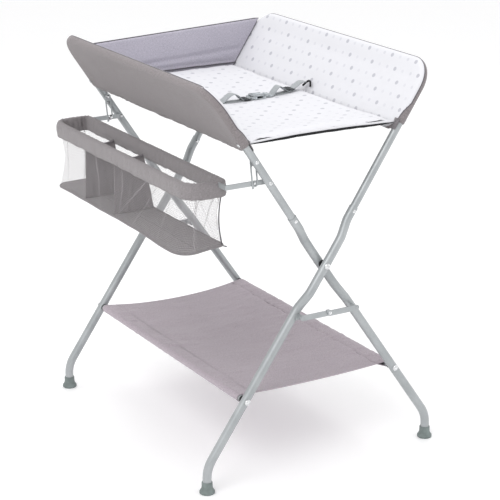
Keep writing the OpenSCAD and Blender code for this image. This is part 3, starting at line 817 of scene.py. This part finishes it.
def mattress_edge():
    """Bound seam along the front of the mat, in the mat's own cloth."""
    points = []
    reach = face_x(PAD_TOP) - 0.005
    for x in np.linspace(-reach, reach, 60):
        points.append((x, PAD_FRONT + 0.0035, pad_height(x, PAD_FRONT) - 0.0066))
    obj = tube_along("mattress_front_binding", points, 0.0026, 8, material=DOTTED)
    across_bed(obj)


def base_board():
    """Black covered board under the mat; its front edge hangs a little in the middle."""
    lo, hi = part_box("base_board")
    cols, rows = 49, 40
    xs = np.linspace(-1, 1, cols)
    ys = np.linspace(lo.y, hi.y, rows)
    thick = 0.0064
    verts, uvs = [], []
    for layer in (1, 0):
        for y in ys:
            for s in xs:
                z = pad_under(s * 0.2, y) - 0.0006 - (0 if layer else thick * (1 - 0.75 * s**4))
                reach = face_x(z) - 0.004
                z += 0.0006 * ripple(s, y, 2.0, 12, 2)
                verts.append((s * reach, y, z))
                uvs.append((s * reach, y))
    faces = slab_faces(rows, cols)
    obj = add_mesh("base_board_cover", verts, faces, uvs, [UNDERSIDE])
    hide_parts("base_board")
    across_bed(obj)


def back_top(x):
    return 0.9795 - 0.040 * (0.27 - x)


def back_panel():
    """Soft upright panel of grey cloth with dark piping round it."""
    lo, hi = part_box("back_panel")
    middle = (lo.y + hi.y) / 2
    low = PAD_TOP - 0.008
    cols, rows = 110, 44
    shares = spread(-1, 1, cols, 0.7)
    heights = spread(0, 1, rows, 0.8)
    verts, uvs = [], []
    for face in (1, -1):
        for t in heights:
            for s in shares:
                reach0 = face_x(low + (0.982 - low) * t) - 0.002
                x = s * reach0
                z = low + (back_top(x) - low) * t
                x = s * (face_x(z) - 0.002)
                edge_x = (1 - abs(s)) * reach0
                edge_z = min(t, 1 - t) * (0.98 - low)
                depth = min(edge_x, edge_z)
                r = 0.006
                half = math.sqrt(max(0.0, r * r - (r - min(depth, r)) ** 2))
                sink = float(smooth(depth / 0.03))
                fold = 0.0045 * math.exp(-(((t - 0.33 - 0.06 * s) / 0.05) ** 2))
                fold += 0.0030 * math.exp(-(((t - 0.15 + 0.03 * s) / 0.04) ** 2))
                half += sink * (0.0014 * ripple(x, z, 4.0 + face, 11, 3) - fold)
                half += sink * 0.0018 * math.sin(26 * x + 9 * z) * (1 - t)
                lean = -0.006 * math.sin(math.pi * t) * (1 - s * s)
                verts.append((x, middle + lean + face * half, z))
                uvs.append((x, z))
    count = rows * cols
    faces = grid_faces(rows, cols, flip=True) + grid_faces(rows, cols, offset=count)
    obj = add_mesh("back_panel_cover", verts, faces, uvs, [BACK_GREY])
    weld(obj)
    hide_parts("back_panel")
    across_bed(obj)
    line = []
    for t in np.linspace(0, 1, 14):
        z = low + (back_top(-face_x(0.95)) - low) * t
        line.append((-(face_x(z) - 0.002), z))
    for s in np.linspace(-1, 1, 60)[1:-1]:
        x = s * (face_x(0.978) - 0.004)
        line.append((x, back_top(x)))
    for t in np.linspace(1, 0, 14):
        z = low + (back_top(face_x(0.95)) - low) * t
        line.append((face_x(z) - 0.002, z))
    points = [(x, middle - 0.0008, z) for x, z in line]
    piping = tube_along("back_panel_piping", points, 0.0019, 8, material=PIPING)
    across_bed(piping)
    reach = face_x(low + 0.008) - 0.002
    foot = [(x, lo.y - 0.001, pad_height(x, PAD_BACK) + 0.0008) for x in np.linspace(-reach, reach, 40)]
    welt = tube_along("back_panel_foot_welt", foot, 0.0018, 8, material=PIPING)
    across_bed(welt)


# ---- Shelf ------------------------------------------------------------------
def shelf():
    """One sheet: sleeves round both rods, stitched down, with pulled wrinkles between them."""
    lo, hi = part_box("shelf_fabric")
    rod_lo, rod_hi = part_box("left_shelf_rod")
    rod_z = (rod_lo.z + rod_hi.z) / 2
    rod_x = -(rod_lo.x + rod_hi.x) / 2
    r = (rod_hi.z - rod_lo.z) / 2 + 0.0013
    seam = 0.034
    lap = [(rod_x - seam, rod_z + r - 0.0035)]
    for a in np.linspace(-math.pi * 0.42, math.pi * 0.5, 18):
        lap.append((rod_x + r * math.cos(a), rod_z + r * math.sin(a)))
    span = 120
    top = []
    for s in np.linspace(1, -1, span + 2)[1:-1]:
        top.append((s * rod_x, None))
    profile = [(x, z, 0) for x, z in lap]
    profile += [(x, z, 1) for x, z in top]
    profile += [(-x, z, 0) for x, z in reversed(lap)]
    rows = 260
    ys = spread(lo.y, hi.y, rows, 0.2)
    verts, uvs = [], []
    for y in ys:
        run = 0.0
        last = None
        for k, (x, z, flat) in enumerate(profile):
            edge = min(y - lo.y, hi.y - y)
            hem = float(1 - smooth(edge / 0.05))
            curve = 0.014 * hem * (1 - (x / rod_x) ** 2) if flat else 0.0
            yy = y + (curve if y < 0 else -curve)
            near = 1 - abs(x) / rod_x
            if flat:
                s = abs(x) / rod_x
                z = rod_z + r - 0.013 * (1 - s**2.2)
                pull = math.exp(-((near / 0.28) ** 2))
                wave = ripple(0.35 * x, y, 1.0, 30, 3)
                crease = abs(ripple(0.5 * x + 0.06 * y, y, 7.0, 22, 2))
                broad = ripple(0.3 * x, y, 3.0, 7, 2)
                puff = 0.0030 * wave * (0.35 + 0.65 * pull)
                puff += 0.0042 * (0.5 - crease) * (0.35 + 0.4 * pull) + 0.004 * broad
                z += puff * float(smooth(near / 0.05)) * (1 - 0.5 * hem)
                stitch = math.exp(-(((abs(x) - (rod_x - seam)) / 0.0028) ** 2))
                z -= 0.0022 * stitch
            else:
                gather = ripple(0, y, 11.0 + (x > 0), 55, 2)
                grow = 0.0016 * gather * (1.0 if x > 0 else 0.45)
                centre = rod_x if x > 0 else -rod_x
                dx, dz = x - centre, z - rod_z
                norm = math.hypot(dx, dz)
                if norm < 0.02:
                    x, z = centre + dx * (1 + grow / norm), rod_z + dz * (1 + grow / norm)
            point = Vector((x, yy, z))
            run += (point - last).length if last is not None else 0.0
            last = point
            verts.append(point)
            uvs.append((run, y))
    cols = len(profile)
    obj = add_mesh("shelf_sheet", verts, grid_faces(rows, cols, flip=True), uvs, [SHELF_GREY])
    area = sum(p.area for p in obj.data.polygons)
    thicken(obj, 0.0012)
    width = hi.y - lo.y
    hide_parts("shelf_fabric")
    flat = (round(area / width, 3), round(width, 3))
    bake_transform(obj)
    for y, name in ((lo.y, "front"), (hi.y, "back")):
        sign = 1 if y < 0 else -1
        line = []
        for s in np.linspace(-0.985, 0.985, 70):
            curve = 0.014 * (1 - s * s)
            z = rod_z + r - 0.013 * (1 - abs(s) ** 2.2)
            line.append((s * rod_x, y + sign * (curve + 0.001), z - 0.0004))
        hem = tube_along(f"shelf_hem_{name}", line, 0.0024, 8, material=SHELF_GREY, squeeze=0.9)
        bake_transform(hem)


# ---- Basket -----------------------------------------------------------------
def even_line(points, count):
    """count evenly spaced points on a closed plan line, and its length."""
    pts = np.array(points + points[:1])
    steps = np.hypot(*np.diff(pts, axis=0).T)
    run = np.concatenate([[0], np.cumsum(steps)])
    wanted = np.linspace(0, run[-1], count, endpoint=False)
    xs, ys = np.interp(wanted, run, pts[:, 0]), np.interp(wanted, run, pts[:, 1])
    return [(float(x), float(y)) for x, y in zip(xs, ys)], run[-1]


def rim_line(count=220, grow=0.0):
    """Plan of the basket's rim as (x, y) points, grown outwards."""
    lo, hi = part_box("basket_rim")
    x1, x2 = lo.x + RIM_R - grow, hi.x - RIM_R + grow
    y1, y2 = lo.y + RIM_R - grow, hi.y - RIM_R + grow
    outer, inner = 0.034 + grow, 0.014 + grow
    corners = [
        (x1 + outer, y1 + outer, outer, math.pi, 1.5 * math.pi),
        (x2 - inner, y1 + inner, inner, 1.5 * math.pi, 2 * math.pi),
        (x2 - inner, y2 - inner, inner, 0, 0.5 * math.pi),
        (x1 + outer, y2 - outer, outer, 0.5 * math.pi, math.pi),
    ]
    points = []
    for cx, cy, radius, a1, a2 in corners:
        for a in np.linspace(a1, a2, 14):
            points.append((cx + radius * math.cos(a), cy + radius * math.sin(a)))
    return even_line(points, count)


def outward(points):
    """Unit outward directions of a closed plan line."""
    count = len(points)
    found = []
    for i in range(count):
        (xa, ya), (xb, yb) = points[i - 1], points[(i + 1) % count]
        length = math.hypot(xb - xa, yb - ya)
        found.append(((yb - ya) / length, -(xb - xa) / length))
    return found


def basket_band():
    """Cloth band folded over the rim, wrinkled at its corners, with a loose wavy hem inside and out."""
    count = 460
    line, total = rim_line(count)
    normals = outward(line)
    drop = 0.031
    crest = RIM_R + 0.0030
    lo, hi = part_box("basket_rim")
    profile = [(0.0070, -drop * t, t) for t in np.linspace(1, 0, 9)]
    for a in np.linspace(0, math.pi, 13)[1:-1]:
        profile.append((0.0070 * math.cos(a), crest * math.sin(a), 0.0))
    profile += [(-0.0070, -drop * 0.94 * t, t) for t in np.linspace(0, 1, 9)]
    verts, uvs = [], []
    for i, ((x, y), (nx, ny)) in enumerate(zip(line, normals)):
        along = total * i / count
        angle = 2 * math.pi * i / count
        ends = min(y - lo.y, hi.y - y)
        corner = float(1 - smooth(ends / 0.085))
        for k, (out, up, t) in enumerate(profile):
            round_x, round_y = math.cos(angle), math.sin(angle)
            broad = noise.fractal(Vector((round_x * 5, round_y * 5, k * 0.10)), 0.6, 2.0, 2)
            wobble = noise.fractal(Vector((round_x * 14, round_y * 14, k * 0.20)), 0.6, 2.0, 3)
            tight = noise.fractal(Vector((round_x * 46, round_y * 46, k * 0.16)), 0.6, 2.0, 2)
            side = 1 if out > 0 else -1
            loose = 0.25 + 0.75 * t
            swell = 0.0016 * math.sin(math.pi * min(1.0, t * 1.1)) + 0.0022 * t * broad
            crush = 0.0026 * corner * tight * (1.0 if side < 0 else 0.45)
            o = out + side * (swell + 0.0015 * loose * wobble + 0.0005 * tight) + side * crush
            z = RIM_Z + up + 0.0030 * broad * t + 0.0016 * wobble * t
            z += 0.0007 * tight + 0.0012 * corner * tight
            verts.append((x + nx * o, y + ny * o, z))
            uvs.append((along, k * 0.004))
    cols = len(profile)
    faces = grid_faces(count, cols, flip=True)
    last = (count - 1) * cols
    faces += [(last + j, j, j + 1, last + j + 1) for j in range(cols - 1)]
    obj = add_mesh("basket_band_cloth", verts, faces, uvs, [BAND_GREY])
    thicken(obj, 0.0012)
    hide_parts("basket_band")
    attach(obj, "basket")


BASKET_FLOOR_Z = 0.588
FLOOR_OUTER_X = -0.341
FLOOR_INNER_X = -0.220
FLOOR_FRONT_Y = -0.297
FLOOR_BACK_Y = 0.396


def floor_line(count=220, grow=0.0):
    """Plan of the basket's floor: wider towards the bed, well rounded at its near outer corner."""
    x1, x2 = FLOOR_OUTER_X - grow, FLOOR_INNER_X + grow
    y1, y2 = FLOOR_FRONT_Y - grow, FLOOR_BACK_Y + grow
    corners = [
        (x1, y1, 0.052, math.pi), (x2, y1, 0.013, 1.5 * math.pi),
        (x2, y2, 0.016, 0.0), (x1, y2, 0.034, 0.5 * math.pi),
    ]
    points = []
    for x, y, radius, start in corners:
        cx = x + (radius if x == x1 else -radius)
        cy = y + (radius if y == y1 else -radius)
        for a in np.linspace(start, start + 0.5 * math.pi, 14):
            points.append((cx + radius * math.cos(a), cy + radius * math.sin(a)))
    return even_line(points, count)


def basket_section(t, count):
    """Plan of the net wall at share t of the way down, from the rim to the floor."""
    top, total = rim_line(count, grow=-0.001)
    low, _ = floor_line(count)
    share = float(smooth((t - 0.10) / 0.9)) * 0.45 + 0.55 * max(0.0, (t - 0.10) / 0.9)
    keep = 1 - share
    return [(keep * a[0] + share * b[0], keep * a[1] + share * b[1]) for a, b in zip(top, low)], total


def floor_height(x, y):
    """The floor hangs lower towards its near outer corner."""
    near = float(smooth((FLOOR_FRONT_Y + 0.30 - y) / 0.30))
    outer = float(smooth((FLOOR_INNER_X - x) / (FLOOR_INNER_X - FLOOR_OUTER_X)))
    return BASKET_FLOOR_Z - 0.009 * near * outer + 0.0016 * ripple(x, y, 4.0, 9, 2)


def pleats(along, t, total):
    """How strongly the net is creased there: lines that fan out from the band's corners."""
    fans = [
        (0.055, 0.10, 0.75), (0.075, 0.16, 0.9), (0.10, 0.205, 0.8), (0.02, 0.045, 0.6),
        (0.93, 0.875, 0.7), (0.90, 0.82, 0.8), (0.97, 0.955, 0.5),
        (0.70, 0.765, 0.8), (0.60, 0.64, 0.7), (0.80, 0.83, 0.6), (0.665, 0.70, 0.5),
        (0.16, 0.12, 0.4), (0.33, 0.31, 0.5), (0.42, 0.45, 0.5), (0.52, 0.55, 0.6),
    ]
    where = along / total
    found = 0.0
    for start, end, strength in fans:
        centre = start + (end - start) * t
        away = abs((where - centre + 0.5) % 1.0 - 0.5)
        found = max(found, strength * math.exp(-((away / 0.0013) ** 2)) * (0.35 + 0.65 * (1 - t)))
    return found


def basket_net():
    """Net wall from the band to the floor, taut but creased, drawn in towards the floor."""
    count, rows = 560, 40
    verts, uvs, creases = [], [], []
    top_z = RIM_Z - 0.006
    for i in range(rows):
        t = i / (rows - 1)
        section, total = basket_section(t, count)
        normals = outward(section)
        for j, ((x, y), (nx, ny)) in enumerate(zip(section, normals)):
            along = total * j / count
            angle = 2 * math.pi * j / count
            crease = pleats(along, t, total)
            broad = noise.fractal(Vector((math.cos(angle) * 6, math.sin(angle) * 6, t * 1.5)), 0.6, 2.0, 2)
            hang = math.sin(math.pi * t)
            push = -0.004 * hang + 0.0035 * broad * hang + 0.0022 * crease
            low_z = floor_height(x, y) + 0.0015
            verts.append((x + nx * push, y + ny * push, top_z + (low_z - top_z) * t))
            uvs.append((along, (top_z - BASKET_FLOOR_Z) * t))
            creases.append(crease)
    faces = grid_faces(rows, count, wrap=True, flip=True)
    obj = add_mesh("basket_net", verts, faces, uvs, [NET])
    # The crease layer makes the net denser where it lies double and also paints shade into its colour along
    # the creases.
    layer = obj.data.attributes.new("pleat_and_shade", "FLOAT", "POINT")
    layer.data.foreach_set("value", np.array(creases, np.float32))
    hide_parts("basket_mesh")
    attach(obj, "basket")
    corner_binding()


def corner_binding():
    """Dark tape down the near corner on the bed side, with its short end past the floor."""
    def corner(t):
        section, _ = basket_section(t, 560)
        return min(section, key=lambda q: (q[1] - q[0]))

    (x1, y1), (x2, y2) = corner(0.14), corner(1.0)
    z1, z2 = RIM_Z - 0.027, floor_height(x2, y2)
    points = []
    for t in np.linspace(0, 1, 30):
        bow = 0.005 * math.sin(math.pi * t)
        points.append((x1 + (x2 - x1) * t - bow, y1 + (y2 - y1) * t + bow, z1 + (z2 - z1) * t))
    x, y, z = points[-1]
    points += [(x + 0.004, y - 0.005, z - 0.001), (x + 0.007, y - 0.010, z - 0.001)]
    tape = tube_along("basket_corner_tape", points, 0.0016, 8, material=PIPING)
    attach(tape, "basket")


def basket_floor():
    """Cloth floor with a bound edge that sags a little between its ends."""
    count, rings = 240, 14
    line, _ = floor_line(count, grow=-0.001)
    cx = sum(p[0] for p in line) / count
    cy = sum(p[1] for p in line) / count
    spine_half = 0.30
    verts, uvs = [], []
    for i in range(rings):
        t = i / (rings - 1)
        for x, y in line:
            sx, sy = cx, min(max(y, cy - spine_half), cy + spine_half)
            px, py = sx + (x - sx) * (1 - t * 0.997), sy + (y - sy) * (1 - t * 0.997)
            sag = 0.004 * float(smooth(t * 1.6)) - 0.0012 * ripple(px, py, 2.0, 16, 3)
            verts.append((px, py, floor_height(px, py) + 0.001 - sag))
            uvs.append((px, py))
    faces = grid_faces(rings, count, wrap=True)
    obj = add_mesh("basket_floor_cloth", verts, faces, uvs, [BAND_GREY])
    thicken(obj, 0.0016)
    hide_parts("basket_floor", "basket_floor_wire")
    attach(obj, "basket")
    edge, _ = floor_line(300)
    points = [(x, y, floor_height(x, y) + 0.0006 * math.sin(40 * y)) for x, y in edge]
    binding = tube_along("basket_floor_binding", points, 0.0030, 10, closed=True, material=BINDING)
    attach(binding, "basket")


def basket_dividers():
    """Cloth walls across the basket, hung from the band by a hemmed, sagging top edge."""
    rim_lo, rim_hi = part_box("basket_rim")
    for name in ("front", "back"):
        lo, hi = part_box(f"basket_divider_{name}")
        y = (lo.y + hi.y) / 2
        cols, rows = 40, 40
        verts, uvs, hem = [], [], []
        for i in range(rows):
            t = i / (rows - 1)
            for j in range(cols):
                s = j / (cols - 1)
                top = RIM_Z - 0.008 - 0.014 * s - 0.012 * math.sin(math.pi * s) ** 0.8
                z = BASKET_FLOOR_Z + 0.002 + (top - BASKET_FLOOR_Z - 0.002) * t
                x1 = rim_lo.x + 0.0115 - 0.0045 * (1 - t)
                x2 = rim_hi.x - 0.0115 + (FLOOR_INNER_X - rim_hi.x + 0.009) * (1 - t)
                x = x1 + (x2 - x1) * s
                bow = 0.005 * math.sin(math.pi * s) * math.sin(math.pi * t)
                crease = 0.0016 * ripple(x, 0.25 * z, y * 3, 60, 2)
                verts.append((x, y + bow + crease * (1 - 0.6 * t), z))
                uvs.append((x, z))
                if i == rows - 1:
                    hem.append((x, y + 0.001, z))
        # The divider cloth is the band's cloth darkened as painted shade.
        obj = add_mesh(f"basket_divider_{name}_cloth", verts, grid_faces(rows, cols), uvs, [DIVIDER_GREY])
        thicken(obj, 0.0014)
        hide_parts(f"basket_divider_{name}")
        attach(obj, "basket")
        # The hem takes the darker cuff cloth: painted shade along the folded top edge, which lies in shadow.
        edge = tube_along(f"basket_divider_{name}_hem", hem, 0.0036, 8, material=CUFF_GREY)
        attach(edge, "basket")


# ---- Belt -------------------------------------------------------------------
def belt_line(points, count=60):
    """Smooth line through (x, z-above-the-pad) points, laid on the sagging pad."""
    pts = np.array(points, float)
    run = np.concatenate([[0], np.cumsum(np.hypot(*np.diff(pts, axis=0).T))])
    fine = []
    for w in np.linspace(0, run[-1], count):
        k = int(np.clip(np.searchsorted(run, w) - 1, 0, len(pts) - 2))
        p0, p1 = pts[max(k - 1, 0)], pts[k]
        p2, p3 = pts[k + 1], pts[min(k + 2, len(pts) - 1)]
        u = (w - run[k]) / max(run[k + 1] - run[k], 1e-9)
        square, cube = 2 * p0 - 5 * p1 + 4 * p2 - p3, 3 * p1 - p0 - 3 * p2 + p3
        q = 0.5 * (2 * p1 + (p2 - p0) * u + square * u**2 + cube * u**3)
        fine.append((float(q[0]), float(q[1])))
    return [Vector((x, BELT_Y, pad_height(x, BELT_Y) + 0.0012 + z)) for x, z in fine]


def belt():
    """Waist belt: two straps with a loose hump each, two sliders and a side-release buckle."""
    width = (0, 0.025, 0)
    socket_lo, socket_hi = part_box("buckle_socket")
    tongue_lo, tongue_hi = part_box("buckle_tongue")
    left = [(-0.197, 0.001), (-0.12, 0.001), (-0.058, 0.001), (-0.042, 0.009), (-0.022, 0.021),
            (-0.006, 0.017), (0.008, 0.004), (0.018, 0.002), (socket_lo.x + 0.006, 0.004)]
    flat = [(-0.050, 0.0008), (-0.02, 0.0008), (0.012, 0.0010), (socket_lo.x + 0.004, 0.0016)]
    right = [(tongue_hi.x - 0.007, 0.005), (0.098, 0.003), (0.106, 0.012), (0.119, 0.022),
             (0.131, 0.014), (0.143, 0.005), (0.152, 0.005), (0.17, 0.012), (0.186, 0.019), (0.199, 0.017)]
    under = [(tongue_hi.x - 0.005, 0.002), (0.115, 0.0012), (0.14, 0.0014), (0.158, 0.0045)]
    made = ribbon("belt_strap_left_web", belt_line(left, 90), width, 0.0014, WEBBING, crown=0.0006)
    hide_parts("belt_strap_left")
    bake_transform(made)
    lower = ribbon("belt_strap_left_return", belt_line(flat, 30), width, 0.0013, WEBBING)
    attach(lower, "belt")
    made = ribbon("belt_strap_right_web", belt_line(right, 90), width, 0.0014, WEBBING, crown=0.0006)
    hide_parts("belt_strap_right")
    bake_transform(made)
    lower = ribbon("belt_strap_right_return", belt_line(under, 30), width, 0.0013, WEBBING)
    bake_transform(lower)
    for part, node, body, rise in (
        ("left", "belt_slider_left", "belt", 0.001),
        ("right", "belt_slider_right", "belt_tail", 0.006),
    ):
        lo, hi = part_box(node)
        z = pad_height((lo.x + hi.x) / 2, BELT_Y) + 0.0022 + rise
        slider(f"belt_slider_{part}_frame", lo, hi, z, node, body)
    buckle(socket_lo, socket_hi, tongue_lo, tongue_hi)


def slider(name, lo, hi, z, node, body):
    """Three-bar slider with rounded bars."""
    t = 0.0032
    bar = 0.0042
    mid = (lo.x + hi.x) / 2
    y1, y2 = lo.y, hi.y
    parts = [
        rounded_box((lo.x, y1, z), (lo.x + bar, y2, z + t), 0.001),
        rounded_box((hi.x - bar, y1, z), (hi.x, y2, z + t), 0.001),
        rounded_box((mid - bar / 2, y1, z + 0.0006), (mid + bar / 2, y2, z + t + 0.0006), 0.001),
        rounded_box((lo.x, y1, z), (hi.x, y1 + 0.0038, z + t), 0.001),
        rounded_box((lo.x, y2 - 0.0038, z), (hi.x, y2, z + t), 0.001),
    ]
    obj = joined(name, parts, SLIDER)
    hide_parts(node)
    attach(obj, body)


def buckle(slo, shi, tlo, thi):
    """Side-release buckle: ribbed socket with side windows, and a tongue with two prongs."""
    z0 = pad_height(0.05, BELT_Y) + 0.0020
    h = 0.0105
    y1, y2 = slo.y, shi.y
    parts = [
        rounded_box((slo.x + 0.008, y1, z0 + h - 0.0028), (shi.x, y2, z0 + h), 0.0012),
        rounded_box((slo.x + 0.008, y1, z0), (shi.x, y2, z0 + 0.0026), 0.0011),
        rounded_box((slo.x, y1 + 0.002, z0 + 0.002), (slo.x + 0.0045, y2 - 0.002, z0 + 0.0065), 0.0012),
        rounded_box((slo.x, y1 + 0.002, z0 + 0.0015), (slo.x + 0.012, y1 + 0.006, z0 + 0.0075), 0.0012),
        rounded_box((slo.x, y2 - 0.006, z0 + 0.0015), (slo.x + 0.012, y2 - 0.002, z0 + 0.0075), 0.0012),
    ]
    for x1, x2 in ((slo.x + 0.008, slo.x + 0.017), (shi.x - 0.007, shi.x)):
        for ya, yb in ((y1, y1 + 0.0035), (y2 - 0.0035, y2)):
            parts.append(rounded_box((x1, ya, z0), (x2, yb, z0 + h), 0.0012))
    for k in range(3):
        x = slo.x + 0.013 + 0.0075 * k
        low, high = (x, y1 + 0.006, z0 + h - 0.0006), (x + 0.0028, y2 - 0.006, z0 + h + 0.0010)
        parts.append(rounded_box(low, high, 0.0005))
    socket = joined("buckle_socket_shell", parts, BUCKLE)
    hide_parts("buckle_socket")
    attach(socket, "belt")
    zt = z0 + 0.0030
    ty = (y1 + y2) / 2
    base = tlo.x + 0.028
    end = thi.x
    parts = [
        rounded_box((base, y1, zt), (base + 0.0065, y2, zt + 0.0055), 0.0014),
        rounded_box((end - 0.0045, y1 + 0.001, zt - 0.001), (end, y2 - 0.001, zt + 0.0035), 0.0012),
        rounded_box((base + 0.010, y1 + 0.002, zt), (base + 0.0135, y2 - 0.002, zt + 0.004), 0.0012),
        rounded_box((base, y1, zt - 0.0005), (end, y1 + 0.0042, zt + 0.0042), 0.0012),
        rounded_box((base, y2 - 0.0042, zt - 0.0005), (end, y2, zt + 0.0042), 0.0012),
        rounded_box((tlo.x, ty - 0.003, zt), (base + 0.002, ty + 0.003, zt + 0.004), 0.001),
    ]
    for sign in (-1, 1):
        ya, yb = sorted((ty + sign * 0.009, ty + sign * 0.013))
        parts.append(rounded_box((tlo.x + 0.010, ya, zt), (base + 0.002, yb, zt + 0.0042), 0.001))
        ya, yb = sorted((ty + sign * 0.0125, ty + sign * 0.0168))
        parts.append(rounded_box((tlo.x + 0.010, ya, zt), (tlo.x + 0.018, yb, zt + 0.0048), 0.001))
    tongue = joined("buckle_tongue_shell", parts, BUCKLE)
    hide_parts("buckle_tongue")
    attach(tongue, "buckle_male")


def belt_slots():
    """Bound slots in the cloth, where the straps come out beside the panels."""
    for side, body in ((1, "right_frame"), (-1, "left_frame")):
        line = []
        for y in np.linspace(BELT_Y - 0.015, BELT_Y + 0.017, 14):
            t = (y - BELT_Y) / 0.016
            z = PAD_TOP + 0.004 + 0.013 * (1 - t * t)
            line.append((side * (face_x(z) - 0.0055), y, z))
        hood = tube_along(f"belt_slot_{body}", line, 0.0026, 8, material=UNDERSIDE)
        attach(hood, body)


# ---- Gathered cloth at the tubes --------------------------------------------
def corner_gathers():
    """Dark cloth tucked round the tubes under the front corners of the mat."""
    for side, body in ((-1, "left_frame"), (1, "right_frame")):
        low = slope_of(PANEL_BOTTOM_Z) + 0.001
        rows, cols = 18, 14
        verts, uvs = [], []
        for i in range(rows):
            t = i / (rows - 1)
            slope = low + 0.028 * t
            for k in range(cols):
                a = math.pi * (0.62 + 0.62 * k / (cols - 1))
                r = 0.0104 + 0.0030 * t + 0.0009 * math.sin(2.6 * k + 4 * t)
                verts.append(panel_point(side, slope, -0.39 + r * math.sin(a) * 1.1, r * math.cos(a)))
                uvs.append((0.012 * a, slope))
        faces = grid_faces(rows, cols, flip=side < 0)
        obj = add_mesh(f"{body}_corner_gather", verts, faces, uvs, [CUFF_GREY])
        thicken(obj, 0.0012)
        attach(obj, body)


make_camera()
make_stage()
finish_nodes()
for panel_side in (-1, 1):
    side_panel(panel_side)
mattress()
mattress_edge()
base_board()
back_panel()
shelf()
basket_band()
basket_net()
basket_floor()
basket_dividers()
belt()
belt_slots()
corner_gathers()
